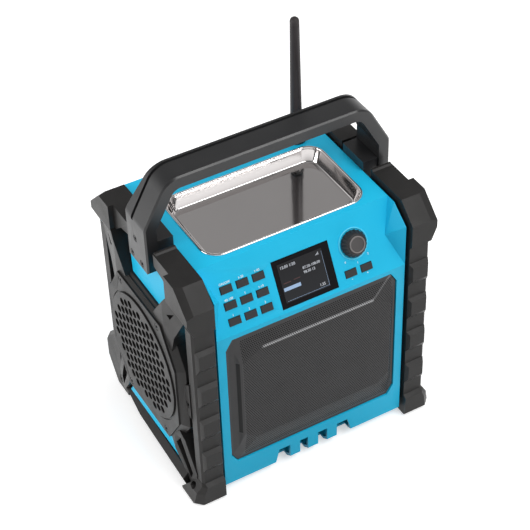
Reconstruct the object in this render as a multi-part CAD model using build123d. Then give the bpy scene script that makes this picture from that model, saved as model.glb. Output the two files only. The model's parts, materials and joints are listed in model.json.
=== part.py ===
from build123d import *
import math
import os

# Jobsite radio. Millimetres, +Z up, +Y to the back, X to the right as the user faces it.
# The saved parts have their origin on the ground, under the middle of the whole footprint.
# The sizes below are measured from the middle of the housing.

# ---- housing -------------------------------------------------------------------------
body_half_width = 102.75
body_depth = 187.0
base_z = 4.0
front_low_z = 10.0
base_chamfer = 8.0
top_z = 270.6
panel_rise = 62.5
panel_run = 32.7
panel_low_z = top_z - panel_rise
seam_y = -3.0
wall = 3.0
back_top_chamfer = 8.0
front_y = -body_depth / 2
back_y = body_depth / 2
panel_top_y = front_y + panel_run
panel_length = math.hypot(panel_run, panel_rise)
panel_tilt = math.atan2(panel_run, panel_rise)

# cheeks that close the ends of the slanted panel
cheek_apex_inset = 13.0
cheek_top_y = front_y + 21.5
cheek_front_z = top_z - 16.1

# notches in the front lower edge
notch_top_z = 26.4
notch_edges = [(-40.5, -28.0), (-16.4, -7.2), (4.8, 15.4), (27.0, 39.5)]
notch_depth = 14.0
notch_slope = 6.0

# ---- clearances ----------------------------------------------------------------------
seat_gap = 0.3
slide_gap = 0.2
running_gap = 0.05
hole_gap = 0.25

# ---- front grille and driver ---------------------------------------------------------
grille_half_width = body_half_width - 8.75
grille_low_z = 37.0
grille_high_z = panel_low_z - 5.1
grille_corner_x = 7.0
grille_corner_z = 11.5
grille_pocket = 6.0
grille_sheet = 1.2
grille_setback = 1.5
grille_rise = 4.5
plateau_left_x = -grille_half_width + 14.0
plateau_right_x = grille_half_width - 9.0
plateau_low_z = grille_low_z + 29.0
plateau_high_z = grille_high_z - 20.0
plateau_cut_x = 21.0
plateau_cut_z = 13.0
plateau_low_cut_x = 12.0
plateau_low_cut_z = 10.0
baffle = 3.0
front_driver_z = 118.0
front_driver_hole_r = 46.0
front_driver_flange_r = 52.0
front_driver_depth = 44.0
driver_flange = 3.0
driver_magnet_r = 30.0

# ---- slanted panel: display, buttons, knob -------------------------------------------
display_x = -0.6
display_y = 27.9
display_width = 60.6
display_height = 47.4
display_sheet = 1.6
display_proud = 0.4
display_opening_margin = 3.0
module_thickness = 5.0
button_width = 12.4
button_height = 7.4
button_proud = 1.1
button_travel = 1.0
button_flange = 0.9
button_flange_lip = 1.0
button_column_x = [-79.9, -63.0, -46.1]
button_row_y = [44.0, 28.1, 12.4]
preset_x = [45.4, 62.6]
preset_y = 12.6
knob_x = 55.0
knob_y = 39.4
knob_base_r = 13.5
knob_top_r = 8.8
knob_height = 8.0
knob_lift = 0.6
knob_cap_r = 8.3
knob_cap_height = 1.2
knob_socket_r = 6.9
knob_socket_depth = 1.0
knob_flutes = 20
knob_flute_r = 0.9
ring_outer_r = 15.7
ring_inner_r = 14.2
ring_height = 1.0
shaft_r = 3.0
bushing_r = 4.6
bushing_wall_hole_r = 4.75
encoder_width = 13.0
encoder_depth = 7.0
board_thickness = 1.6
switch_height = 1.2
switch_width = 6.0

# ---- tool tray -----------------------------------------------------------------------
tray_half_width = body_half_width - 15.75
tray_front_y = -55.0
tray_back_y = 46.5
tray_corner_r = 19.0
tray_depth = 13.0
tray_wall_run = 5.5
tray_sheet = 1.0
tray_rim_height = 1.6
tray_rim_width = 2.6
tray_lip_gap = 0.4

# ---- side guards ---------------------------------------------------------------------
guard_gap = 3.05
pillar_width = 23.0
guard_inner_x = body_half_width + guard_gap
pillar_outer_x = guard_inner_x + pillar_width
pillar_face_y = 96.3
pillar_back_y = 83.5
block_low_z = top_z - 39.1
pillar_top_z = block_low_z + 0.5
pillar_edge = 2.4
rib_first_z = block_low_z - 23.1
rib_pitch = 44.8
rib_count = 4
rib_rise = 4.2
rib_side = 2.2
rib_top_bevel = 3.4
rib_low_bevel = 7.2
rib_length = 27.5
foot_top_z = 29.2
foot_outer_x = pillar_outer_x + 9.2
foot_side_z = 17.5
foot_back_y = 66.5
block_face_y = 99.6
block_slope_z = top_z - 13.6
block_top_front_y = 79.4
block_top_z = top_z + 5.7
block_top_back_y = 26.0
block_top_x = pillar_outer_x - 2.8
block_outer_x = pillar_outer_x + 5.2
block_side_z = block_top_z - 3.9
block_narrow_x = pillar_outer_x - 0.3
block_narrow_y = 57.0
block_tail_z = block_top_z - 14.3
block_side_low_z = block_low_z + 14.5
frame_inner_x = guard_inner_x + 13.2
frame_outer_x = frame_inner_x + 11.0
rail_half = 29.0
sill_low_z = 8.0
sill_high_z = 24.0
pod_outer_x = frame_outer_x + 5.0
pod_inner_x = frame_inner_x
pod_bore_r = 58.0
plate_seat = 2.0
foot_pad_height = 1.2
heel_outer_x = pillar_outer_x - 1.2
heel_edge = 3.0
heel_top_z = 81.0
heel_back_y = 121.5
heel_slope_z = 51.0
heel_low_z = 27.0
heel_base_y = 104.0
sill_bend_y = 31.0
sill_end_x = pillar_outer_x + 0.2
pod_bevel = 7.0
pod_rim_x = pod_outer_x - 6.5

# ---- side plates with round grille ---------------------------------------------------
plate_face_x = pod_outer_x + plate_seat
disc_face_x = plate_face_x + 1.4
disc_z = 130.5
disc_r = 66.0
hole_field_r = 61.0
hole_pitch = 10.65
hole_r = 4.1
groove_width = 2.0
groove_depth = 1.0
plate_screw_y = 38.5
plate_screw_high_z = disc_z + 69.5
plate_screw_low_z = disc_z - 69.5
pod_half = [
    (45.0, disc_z + 75.5), (70.0, disc_z + 35.5), (70.0, disc_z - 35.5), (44.0, disc_z - 76.5),
]
rail_z = disc_z + 80.5
plate_screw_length = 14.0
plate_screw_head = 1.2
side_driver_hole_r = 46.0
side_driver_flange_r = 53.0
side_driver_depth = 26.0
arm_channel_x = frame_outer_x - 3.5

# ---- side bulges of the housing, behind the guards' frames ----------------------------
bulge_face_x = frame_inner_x - seat_gap
bulge_half_y = 73.5
bulge_shoulder_z = disc_z + 84.5
bulge_foot_z = disc_z - 80.5
bulge_low_z = sill_high_z + 2.0
bulge_low_y = 60.0
bulge_top_y = 50.0
bulge_edge = 2.5
wedge_gap = 0.4

# ---- screws --------------------------------------------------------------------------
screw_shank_r = 2.0
screw_head_r = 3.4
screw_head_height = 2.4
screw_recess_r = 3.8
screw_socket_r = 1.5
screw_socket_depth = 1.4
guard_screw_places = [(79.5, 128.5), (-79.5, 128.5), (84.5, 20.0), (-84.5, 20.0)]

# ---- handle --------------------------------------------------------------------------
handle_outer_x = body_half_width + 29.05
handle_top_z = top_z + 75.7
handle_shoulder_z = handle_top_z - 47.1
handle_corner_x = handle_outer_x - 25.9
handle_thickness = 12.4
handle_bend_r = 24.0
handle_shoulder_r = 9.0
handle_center_y = 1.0
handle_depth = 40.0
handle_low_z = top_z - 23.8
handle_edge = 1.6
bracket_top_z = top_z + 10.4
bulge_top_z = handle_low_z - wedge_gap
handle_groove_y = 6.4
handle_groove_width = 3.6
handle_bar_back_y = 12.2
handle_groove_depth = 2.6
handle_screw_places = [(-7.4, handle_low_z + 5.8), (12.4, handle_low_z + 5.8)]
bracket_screw_places = [(3.0, bracket_top_z - 5.1)]
bracket_screw_length = 18.0

# ---- antenna -------------------------------------------------------------------------
antenna_x = 74.0
antenna_y = 60.0
antenna_length = 142.4
antenna_top_z = top_z + antenna_length
antenna_pivot_rise = 11.0
antenna_low_r = 5.9
antenna_tip_r = 4.6
antenna_socket_r = 9.5
antenna_socket_height = 3.0
antenna_tongue = 4.0
antenna_pin_r = 1.5
antenna_fork_half = 6.5
antenna_ring_drop = 9.0

# ---- battery bay, door, latch, power inlet -------------------------------------------
door_x = -12.0
door_z = 118.0
door_width = 132.0
door_height = 150.0
door_sheet = 4.0
door_proud = 1.0
door_gap = 0.5
hinge_r = 3.0
hinge_pin_r = 1.2
hinge_lengths = [(54.0, 18.0), (-54.0, 18.0)]
bay_depth = 70.0
bay_margin = 6.0
bay_wall = 2.5
latch_width = 11.0
latch_length = 19.0
latch_thickness = 4.0
latch_grip = 1.6
latch_offset = 9.0
latch_boss_depth = 9.0
latch_screw_length = 9.0
terminal_width = 46.0
terminal_height = 24.0
terminal_depth = 12.0
terminal_blade = 1.2
inlet_x = 78.0
inlet_z = 52.0
inlet_r = 5.6
inlet_bore_r = 2.8
inlet_pin_r = 0.8
inlet_depth = 14.0
flap_width = 24.0
flap_height = 34.0
flap_sheet = 2.2
flap_recess = 2.6
flap_bead_r = 1.2
usb_z = 66.0
usb_width = 13.2
usb_height = 5.6

# ---- inside --------------------------------------------------------------------------
main_board_width = 150.0
main_board_depth = 60.0
main_board_z = 26.0
main_board_y = -44.0
post_r = 3.0
corner_screw_x = body_half_width - 7.75
corner_screw_low_z = 20.0
corner_screw_high_z = top_z - 20.6
shell_screw_length = 70.0
beyond = 600.0

os.makedirs("parts", exist_ok=True)


footprint_mid_y = (heel_back_y - pillar_face_y - rib_rise) / 2


def save(shape, name):
    solids = [Pos(0, -footprint_mid_y, 0) * solid for solid in shape.solids()]
    node = solids[0] if len(solids) == 1 else Compound(solids)
    export_step(node, "parts/" + name + ".step")
    print(name, "volume", round(sum(solid.volume for solid in solids)), "solids", len(solids))


def side_prism(points, x_from, x_to):
    """Extrude a closed outline given as (y, z) points between two x places."""
    outline = make_face(Plane.YZ * Polyline(*points, close=True))
    return Pos(x_from, 0, 0) * extrude(outline, amount=x_to - x_from, dir=(1, 0, 0))


def front_prism(points, y_from, y_to):
    """Extrude a closed outline given as (x, z) points between two y places."""
    outline = make_face(Polyline(*[(x, y_from, z) for x, z in points], close=True))
    return extrude(outline, amount=y_to - y_from, dir=(0, 1, 0))


def block(x_from, x_to, y_from, y_to, z_from, z_to):
    center = ((x_from + x_to) / 2, (y_from + y_to) / 2, (z_from + z_to) / 2)
    return Pos(*center) * Box(x_to - x_from, y_to - y_from, z_to - z_from)


def rod(radius, length, plane):
    """A cylinder that starts on the plane and runs along its normal."""
    return plane * Pos(0, 0, length / 2) * Cylinder(radius, length)


def polyhedron(points, faces):
    skins = [Face(Wire.make_polygon([points[i] for i in f], close=True)) for f in faces]
    return Solid(Shell(skins))


def below(shape, plane):
    return split(shape, bisect_by=plane, keep=Keep.BOTTOM)


def plane_through(a, b, c, outside):
    """A plane through three points whose normal points to the outside point."""
    u = Vector(*b) - Vector(*a)
    v = Vector(*c) - Vector(*a)
    n = u.cross(v)
    if n.dot(Vector(*outside) - Vector(*a)) < 0:
        n = n * -1
    return Plane(origin=a, z_dir=n)


def both_sides(shape):
    return shape, mirror(shape, about=Plane.YZ)


panel = Plane(
    origin=(0, front_y, panel_low_z),
    x_dir=(1, 0, 0),
    z_dir=(0, -math.cos(panel_tilt), math.sin(panel_tilt)),
)


def screw(length, head_height=screw_head_height):
    """A socket screw on +Z: the head's top is at the origin, the shank points down."""
    head = Pos(0, 0, -head_height / 2) * Cylinder(screw_head_r, head_height)
    shank = Pos(0, 0, -head_height - length / 2) * Cylinder(screw_shank_r, length)
    socket_depth = min(screw_socket_depth, head_height - 0.4)
    socket = Pos(0, 0, -socket_depth / 2) * Cylinder(screw_socket_r, socket_depth)
    return head + shank - socket


def screw_hole(length, head_height=screw_head_height, cover=10.0):
    """The clearance for a screw, open above its head."""
    head_low = head_height + slide_gap
    head = Pos(0, 0, (cover - head_low) / 2) * Cylinder(screw_recess_r, cover + head_low)
    shank_low = head_height + length + slide_gap
    shank = Pos(0, 0, -shank_low / 2) * Cylinder(screw_shank_r + slide_gap, shank_low)
    return head + shank


# ======================================================================================
# housing: one closed profile, hollowed, then parted at the seam
# ======================================================================================
profile = [
    (front_y + base_chamfer, base_z),
    (front_y, front_low_z),
    (front_y, panel_low_z),
    (panel_top_y, top_z),
    (back_y - back_top_chamfer, top_z),
    (back_y, top_z - back_top_chamfer),
    (back_y, front_low_z),
    (back_y - base_chamfer, base_z),
]
outer_face = make_face(Plane.YZ * Polyline(*profile, close=True))
inner_face = offset(outer_face, -wall, kind=Kind.INTERSECTION)
outer_body = Pos(-body_half_width, 0, 0) * extrude(
    outer_face, amount=2 * body_half_width, dir=(1, 0, 0)
)
cavity_half = body_half_width - wall
cavity = Pos(-cavity_half, 0, 0) * extrude(inner_face, amount=2 * cavity_half, dir=(1, 0, 0))
housing = outer_body - cavity

# cheeks
panel_mid = panel * Pos(body_half_width - cheek_apex_inset, panel_length * 0.5, 0)
apex = tuple(panel_mid.position)
corner_x = body_half_width
cheek_points = [
    (corner_x, front_y, panel_low_z),
    (corner_x, front_y, cheek_front_z),
    (corner_x, cheek_top_y, top_z),
    (corner_x, panel_top_y, top_z),
    apex,
]
cheek_right = polyhedron(
    cheek_points, [(0, 1, 2, 3), (0, 4, 1), (1, 4, 2), (2, 4, 3), (3, 4, 0)]
)
for cheek in both_sides(cheek_right):
    housing = housing + cheek

# the sides bulge out behind the guards' frames, and wedges fill the frames' two wide gaps
bulge_outline = [
    (-bulge_half_y, bulge_shoulder_z), (-bulge_top_y, bulge_top_z), (bulge_top_y, bulge_top_z),
    (bulge_half_y, bulge_shoulder_z), (bulge_half_y, bulge_foot_z), (bulge_low_y, bulge_low_z),
    (-bulge_low_y, bulge_low_z), (-bulge_half_y, bulge_foot_z),
]
bulge = side_prism(bulge_outline, body_half_width - wall / 2, bulge_face_x)
bulge = chamfer([e for e in bulge.edges() if e.center().X > bulge_face_x - 0.01], bulge_edge)
bulge_room_face = Pos(body_half_width - wall - 1, 0, 0) * offset(
    make_face(Plane.YZ * Polyline(*bulge_outline, close=True)), -wall, kind=Kind.INTERSECTION
)
bulge_room = extrude(bulge_room_face, amount=bulge_face_x - body_half_width + 1, dir=(1, 0, 0))


def wedge(half_low_y, low_z, low_x, half_high_y, high_z, high_x):
    """A block on the bulge whose outer face leans from one height to another."""
    outline = [(-half_low_y, low_z), (half_low_y, low_z), (half_high_y, high_z), (-half_high_y, high_z)]
    solid = side_prism(outline, bulge_face_x - wall / 2, max(low_x, high_x) + 1)
    lean = plane_through((low_x, 0, low_z), (low_x, 10, low_z), (high_x, 0, high_z), (beyond, 0, low_z))
    return below(solid, lean)


pod_top_z = pod_half[0][1] + pod_bevel
pod_low_z = pod_half[-1][1] - pod_bevel
top_wedge = wedge(
    rail_half + 0.6, pod_top_z + wedge_gap, frame_outer_x - 3.6,
    bulge_top_y - 6.0, bulge_top_z, frame_outer_x - 8.6,
)
low_wedge = wedge(
    bulge_low_y + 2.0, sill_high_z + wedge_gap, frame_outer_x - 0.4,
    bulge_top_y - 0.5, pod_low_z - wedge_gap, frame_outer_x - 2.4,
)
for part in (bulge, top_wedge, low_wedge):
    for side_part in both_sides(part):
        housing = housing + side_part
for room in both_sides(bulge_room):
    housing = housing - room

# pocket and baffle of the front grille
grille_outline = [
    (-grille_half_width + grille_corner_x, grille_low_z),
    (grille_half_width - grille_corner_x, grille_low_z),
    (grille_half_width, grille_low_z + grille_corner_z),
    (grille_half_width, grille_high_z - grille_corner_z),
    (grille_half_width - grille_corner_x, grille_high_z),
    (-grille_half_width + grille_corner_x, grille_high_z),
    (-grille_half_width, grille_high_z - grille_corner_z),
    (-grille_half_width, grille_low_z + grille_corner_z),
]
baffle_back_y = front_y + grille_pocket + baffle
housing = housing + block(
    -grille_half_width - wall, grille_half_width + wall,
    front_y + wall / 2, baffle_back_y, grille_low_z - wall, grille_high_z + wall,
)
housing = housing - front_prism(grille_outline, front_y - 1, front_y + grille_pocket)
driver_plane = Plane(origin=(0, front_y, front_driver_z), z_dir=(0, 1, 0))
housing = housing - rod(front_driver_hole_r, 20, driver_plane)

# display window, button holes, knob hole
display_place = panel * Pos(display_x, display_y, 0)
display_seat = display_sheet - display_proud
pocket_box = Box(display_width + 2 * hole_gap, display_height + 2 * hole_gap, 2 * display_seat)
housing = housing - display_place * pocket_box
window_width = display_width - 2 * display_opening_margin
window_height = display_height - 2 * display_opening_margin
housing = housing - display_place * Box(window_width, window_height, 4 * wall)

button_places = []
for row, row_y in enumerate(button_row_y):
    for column, column_x in enumerate(button_column_x):
        button_places.append(("menu_button_%d" % (3 * row + column + 1), column_x, row_y))
for number, place_x in enumerate(preset_x):
    button_places.append(("preset_button_%d" % (number + 1), place_x, preset_y))
for name, place_x, place_y in button_places:
    hole = Box(button_width + 2 * slide_gap, button_height + 2 * slide_gap, 4 * wall)
    housing = housing - panel * Pos(place_x, place_y, 0) * hole
knob_plane = panel * Pos(knob_x, knob_y, 0)
housing = housing - knob_plane * Cylinder(bushing_wall_hole_r, 4 * wall)

# notches in the front lower edge
for number, (left, right) in enumerate(notch_edges):
    left_low = left - notch_slope if number == 0 else left
    right_low = right + notch_slope if number == len(notch_edges) - 1 else right
    notch = [(left, notch_top_z), (right, notch_top_z), (right_low, base_z - 1), (left_low, base_z - 1)]
    housing = housing - front_prism(notch, front_y - 1, front_y + notch_depth)

# opening for the tool tray
def rounded_prism(half_x, y_from, y_to, radius, z_from, z_to):
    outline = Pos(0, (y_from + y_to) / 2, z_from) * RectangleRounded(2 * half_x, y_to - y_from, radius)
    return extrude(outline, amount=z_to - z_from, dir=(0, 0, 1))


tray_open_inset = tray_rim_width - tray_lip_gap
housing = housing - rounded_prism(
    tray_half_width - tray_open_inset, tray_front_y + tray_open_inset,
    tray_back_y - tray_open_inset, tray_corner_r - tray_open_inset, top_z - 2 * wall, top_z + 1,
)

# openings for the side drivers
side_plane = Plane(origin=(bulge_face_x, 0, disc_z), z_dir=(-1, 0, 0))
side_opening = side_plane * Pos(0, 0, wall / 2) * Cylinder(side_driver_hole_r, 4 * wall)
for opening in both_sides(side_opening):
    housing = housing - opening

# battery bay: a box let into the back
bay_left = door_x - door_width / 2 + bay_margin
bay_right = door_x + door_width / 2 - bay_margin
bay_low = door_z - door_height / 2 + bay_margin
bay_high = door_z + door_height / 2 - bay_margin
bay_front_y = back_y - bay_depth
housing = housing + block(
    bay_left - bay_wall, bay_right + bay_wall, bay_front_y - bay_wall, back_y - wall / 2,
    bay_low - bay_wall, bay_high + bay_wall,
)
door_left = door_x - door_width / 2
door_right = door_x + door_width / 2
door_low = door_z - door_height / 2
door_high = door_z + door_height / 2
door_recess = door_sheet - door_proud
housing = housing + block(
    door_left - wall, door_right + wall, back_y - door_recess - wall,
    back_y - wall / 2, door_low - wall, door_high + wall,
)
housing = housing - block(bay_left, bay_right, bay_front_y, back_y + 1, bay_low, bay_high)
housing = housing - block(
    door_left - door_gap, door_right + door_gap, back_y - door_recess, back_y + 1,
    door_low - door_gap, door_high + door_gap,
)

# recess for the power inlet and its flap
flap_z = (inlet_z + usb_z) / 2
flap_pocket = block(
    inlet_x - flap_width / 2 - slide_gap, inlet_x + flap_width / 2 + slide_gap,
    back_y - flap_recess, back_y + 1, flap_z - flap_height / 2 - slide_gap,
    flap_z + flap_height / 2 + slide_gap,
)
inlet_backing = block(
    inlet_x - flap_width / 2 - wall, inlet_x + flap_width / 2 + wall,
    back_y - flap_recess - wall, back_y - wall / 2,
    flap_z - flap_height / 2 - wall, flap_z + flap_height / 2 + wall,
)
housing = housing + inlet_backing - flap_pocket
inlet_plane = Plane(origin=(inlet_x, back_y - flap_recess, inlet_z), z_dir=(0, -1, 0))
housing = housing - rod(inlet_r + hole_gap, 2 * wall + 1, inlet_plane)
housing = housing - block(
    inlet_x - usb_width / 2 - hole_gap, inlet_x + usb_width / 2 + hole_gap,
    back_y - 12, back_y, usb_z - usb_height / 2 - hole_gap, usb_z + usb_height / 2 + hole_gap,
)

# hole for the antenna socket
antenna_plane = Plane(origin=(antenna_x, antenna_y, top_z), z_dir=(0, 0, 1))
socket_neck_r = antenna_socket_r - 3.0
housing = housing - antenna_plane * Cylinder(socket_neck_r + hole_gap, 4 * wall)

# posts for the screws that hold the two shells
corner_screws = []
for place_x in (-corner_screw_x, corner_screw_x):
    for place_z in (corner_screw_low_z, corner_screw_high_z):
        place = Plane(origin=(place_x, back_y, place_z), z_dir=(0, 1, 0))
        corner_screws.append(place)
        post_length = back_y - seam_y + 18
        post = place * Pos(0, 0, -post_length / 2 - 0.5) * Cylinder(post_r + 3, post_length - 1)
        housing = housing + (post & outer_body)

# screw seats on both sides: guard, handle
handle_screw_length = handle_outer_x - body_half_width + 4
guard_screw_length = frame_outer_x - body_half_width + 4
side_screws = []
for place_y, place_z in handle_screw_places:
    side_screws.append((handle_outer_x, place_y, place_z, handle_screw_length))
for place_y, place_z in guard_screw_places:
    side_screws.append((frame_outer_x, place_y, place_z, guard_screw_length))
for place_x, place_y, place_z, length in side_screws:
    boss = rod(5.0, 10.0, Plane(origin=(body_half_width - 0.5, place_y, place_z), z_dir=(-1, 0, 0)))
    boss = boss & outer_body
    for part in both_sides(boss):
        housing = housing + part
for place_x, place_y, place_z, length in side_screws:
    place = Plane(origin=(place_x, place_y, place_z), z_dir=(1, 0, 0))
    for part in both_sides(place * screw_hole(length)):
        housing = housing - part
for place in corner_screws:
    housing = housing - place * screw_hole(shell_screw_length)

front_half = block(-beyond, beyond, -beyond, seam_y, -beyond, beyond)
housing_front = housing & front_half
housing_rear = housing - front_half

# ======================================================================================
# front grille and its driver
# ======================================================================================
def inset_outline(points, inset_x, inset_z, center_z):
    return [
        (x - math.copysign(inset_x, x), z - math.copysign(inset_z, z - center_z))
        for x, z in points
    ]


def front_loft(outer_points, inner_points, y_outer, y_inner):
    outer = make_face(Polyline(*[(x, y_outer, z) for x, z in outer_points], close=True))
    inner = make_face(Polyline(*[(x, y_inner, z) for x, z in inner_points], close=True))
    return loft([outer, inner], ruled=True)


grille_mid_z = (grille_low_z + grille_high_z) / 2
grille_edge = inset_outline(grille_outline, seat_gap, seat_gap, grille_mid_z)
plateau_edge = [
    (plateau_left_x + plateau_low_cut_x, plateau_low_z),
    (plateau_right_x - plateau_low_cut_x, plateau_low_z),
    (plateau_right_x, plateau_low_z + plateau_low_cut_z),
    (plateau_right_x, plateau_high_z - plateau_cut_z),
    (plateau_right_x - plateau_cut_x, plateau_high_z),
    (plateau_left_x + plateau_cut_x, plateau_high_z),
    (plateau_left_x, plateau_high_z - plateau_cut_z),
    (plateau_left_x, plateau_low_z + plateau_low_cut_z),
]
border_edge = inset_outline(grille_outline, 3.0, 3.0, grille_mid_z)
flange_y = front_y + grille_pocket
face_y = front_y + grille_setback
dome = front_loft(border_edge, plateau_edge, face_y, front_y - grille_rise)
dome = dome + front_prism(grille_edge, face_y, flange_y)
hollow_edge = inset_outline(border_edge, grille_sheet, grille_sheet, grille_mid_z)
hollow_top = inset_outline(plateau_edge, grille_sheet, grille_sheet, grille_mid_z)
hollow = front_loft(hollow_edge, hollow_top, face_y + grille_sheet, front_y - grille_rise + grille_sheet)
hollow = hollow + front_prism(hollow_edge, face_y + grille_sheet, flange_y + 1)
front_grille = dome - hollow

driver_back = Plane(origin=(0, baffle_back_y, front_driver_z), z_dir=(0, 1, 0))


def driver(flange_r, hole_r, depth, plane):
    """A loudspeaker on its flange: the cone opens towards the plane's back."""
    flange = rod(flange_r, driver_flange, plane)
    basket = plane * Pos(0, 0, driver_flange) * Cone(
        hole_r - 1, driver_magnet_r, depth * 0.5, align=(Align.CENTER, Align.CENTER, Align.MIN)
    )
    magnet = rod(driver_magnet_r, depth * 0.45, plane.offset(driver_flange + depth * 0.5))
    cone_cut = plane * Cone(
        hole_r - 6, driver_magnet_r * 0.45, depth * 0.4, align=(Align.CENTER, Align.CENTER, Align.MIN)
    )
    return flange + basket + magnet - cone_cut


front_driver = driver(front_driver_flange_r, front_driver_hole_r, front_driver_depth, driver_back)

# ======================================================================================
# side guards
# ======================================================================================
def rib(top_z, length):
    """A bevelled pad on the pillar's front face, seen as a loft from its foot to its face."""
    low = [
        (guard_inner_x, -pillar_face_y, top_z - length),
        (pillar_outer_x - pillar_edge + 1, -pillar_face_y, top_z - length),
        (pillar_outer_x - pillar_edge + 1, -pillar_face_y, top_z), (guard_inner_x, -pillar_face_y, top_z),
    ]
    face_y = -pillar_face_y - rib_rise
    x_from = guard_inner_x + rib_side
    x_to = pillar_outer_x - pillar_edge + 1 - rib_side
    high = [
        (x_from, face_y, top_z - length + rib_low_bevel), (x_to, face_y, top_z - length + rib_low_bevel),
        (x_to, face_y, top_z - rib_top_bevel), (x_from, face_y, top_z - rib_top_bevel),
    ]
    return loft(
        [make_face(Polyline(*low, close=True)), make_face(Polyline(*high, close=True))], ruled=True
    )


pillar_section = [
    (guard_inner_x, -pillar_face_y),
    (pillar_outer_x - pillar_edge, -pillar_face_y),
    (pillar_outer_x, -pillar_face_y + pillar_edge),
    (pillar_outer_x, -pillar_back_y),
    (guard_inner_x, -pillar_back_y),
]
pillar_face = make_face(Polyline(*[(x, y, foot_top_z - 1) for x, y in pillar_section], close=True))
pillar = extrude(pillar_face, amount=pillar_top_z - foot_top_z + 1, dir=(0, 0, 1))
for number in range(rib_count):
    pillar = pillar + rib(rib_first_z - number * rib_pitch, rib_length)

# the foot flares outwards and steps forward below its bevel
foot_face_y = pillar_face_y + rib_rise
foot_stations = [
    (foot_top_z, pillar_outer_x, pillar_face_y, pillar_edge, pillar_back_y),
    (foot_top_z - rib_top_bevel, pillar_outer_x + 1.5, foot_face_y, pillar_edge + 2.0, pillar_back_y),
    (foot_side_z, foot_outer_x - 2.5, foot_face_y, pillar_edge + 4.0, pillar_back_y - 6.0),
    (4.0, foot_outer_x, foot_face_y, pillar_edge + 5.0, foot_back_y),
    (foot_pad_height, foot_outer_x, foot_face_y - 2.4, pillar_edge + 5.0, foot_back_y),
]


def foot_section(z, outer_x, face_y, corner, back):
    points = [
        (guard_inner_x, -face_y), (outer_x - corner, -face_y), (outer_x, -face_y + corner),
        (outer_x, -back), (guard_inner_x, -back),
    ]
    return make_face(Polyline(*[(x, y, z) for x, y in points], close=True))


sections = [foot_section(*station) for station in foot_stations]
foot = loft([sections[0], sections[1]], ruled=True)
for lower, upper in zip(sections[2:], sections[1:-1]):
    foot = foot + loft([upper, lower], ruled=True)

arm_top_y = 55.5
arm_top_z = block_low_z + 16.0
corner_outline = [
    (-pillar_face_y, block_low_z - 3.5), (-block_face_y, block_low_z), (-block_face_y, block_slope_z),
    (-block_top_front_y, block_top_z), (-block_top_back_y, block_top_z),
    (-block_top_back_y, block_tail_z), (-43.0, block_tail_z - 3.6), (-arm_top_y, arm_top_z),
    (-pillar_back_y, block_low_z - 3.5),
]
corner = side_prism(corner_outline, guard_inner_x, block_outer_x)
edge_plane = plane_through(
    (block_top_x, -block_top_front_y, block_top_z), (block_top_x + 0.5, -block_face_y, block_slope_z),
    (block_outer_x, -block_top_front_y - 1.0, block_side_z), (beyond, -beyond, beyond),
)
corner = below(corner, edge_plane)
low_plane = plane_through(
    (block_outer_x, -block_face_y, block_side_low_z), (block_outer_x, 0, block_side_low_z),
    (pillar_outer_x, -block_face_y, block_low_z + 1.5), (beyond, 0, 0),
)
corner = below(corner, low_plane)
corner = corner - block(block_narrow_x, block_outer_x + 1, -block_narrow_y, 0, block_low_z - 9, block_top_z + 1)
lip = side_prism(
    [
        (-block_top_back_y - 4.0, block_top_z - 0.5), (-block_top_back_y - 4.0, block_top_z),
        (-block_top_back_y - 2.3, block_top_z + 1.6), (-block_top_back_y, block_top_z + 1.6),
        (-block_top_back_y, block_top_z - 0.5),
    ],
    guard_inner_x, block_narrow_x - 1,
)
upright = pillar + corner + lip

# the rear foot is a heel that reaches back behind the pillar
heel_outline = [
    (pillar_back_y, heel_top_z + 8.0), (pillar_face_y - 2.0, heel_top_z),
    (heel_back_y - 6.5, heel_slope_z + 11.0),
    (heel_back_y, heel_slope_z), (heel_back_y, heel_low_z), (heel_base_y + 6.0, foot_pad_height + 9.0),
    (heel_base_y, foot_pad_height), (pillar_back_y - 8.0, foot_pad_height), (pillar_back_y - 8.0, 20.0),
    (pillar_back_y, 32.0),
]
heel = side_prism(heel_outline, guard_inner_x, heel_outer_x)
outer_edges = [
    e for e in heel.edges()
    if e.center().X > heel_outer_x - 0.01 and e.center().Y > pillar_face_y - 1.0 and e.length > 4.0
]
heel = chamfer(outer_edges, heel_edge)

# bars of the side frame, in the y-z plane
def arm(points, outer_near, outer_far, y_near, y_far):
    """A bar whose outer face slopes from the pod (near) to the corner (far)."""
    bar = side_prism(points, frame_inner_x, pod_outer_x)
    cut = plane_through(
        (outer_near, -y_near, 0), (outer_near, -y_near, 100), (outer_far, -y_far, 0), (beyond, -y_far, 0)
    )
    return below(bar, cut)


high_arm = arm(
    [
        (-40.0, rail_z - 5.0), (-rail_half, rail_z), (-arm_top_y, arm_top_z), (-84.0, block_low_z + 20.5),
        (-84.5, block_low_z + 6.5), (-66.0, rail_z - 6.0), (-60.0, rail_z - 29.0),
    ],
    pod_outer_x, frame_outer_x, 50.0, 84.0,
)
low_arm = arm(
    [
        (-44.0, disc_z - 70.5), (-62.0, disc_z - 52.5), (-70.0, disc_z - 60.5), (-86.0, sill_high_z + 10.0),
        (-84.0, sill_low_z + 6.0), (-74.0, sill_low_z + 6.0), (-52.0, sill_high_z + 20.0),
    ],
    pod_outer_x, frame_outer_x, 52.0, 84.0,
)
low_channel = side_prism(
    [(-55.0, disc_z - 74.0), (-62.5, disc_z - 62.5), (-79.0, sill_high_z + 6.0), (-75.5, sill_high_z - 3.0)],
    arm_channel_x, pod_outer_x + 1,
)
high_notch = side_prism(
    [(-57.0, rail_z + 18.0), (-69.0, rail_z + 26.0), (-62.0, rail_z + 15.0)], arm_channel_x, pod_outer_x + 1
)
high_arm = high_arm - high_notch
low_arm = low_arm - low_channel
lug = side_prism(
    [(-84.0, disc_z - 18.5), (-72.0, disc_z - 12.5), (-72.0, disc_z + 17.5), (-84.0, disc_z + 27.5)],
    frame_inner_x, frame_outer_x,
)
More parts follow.
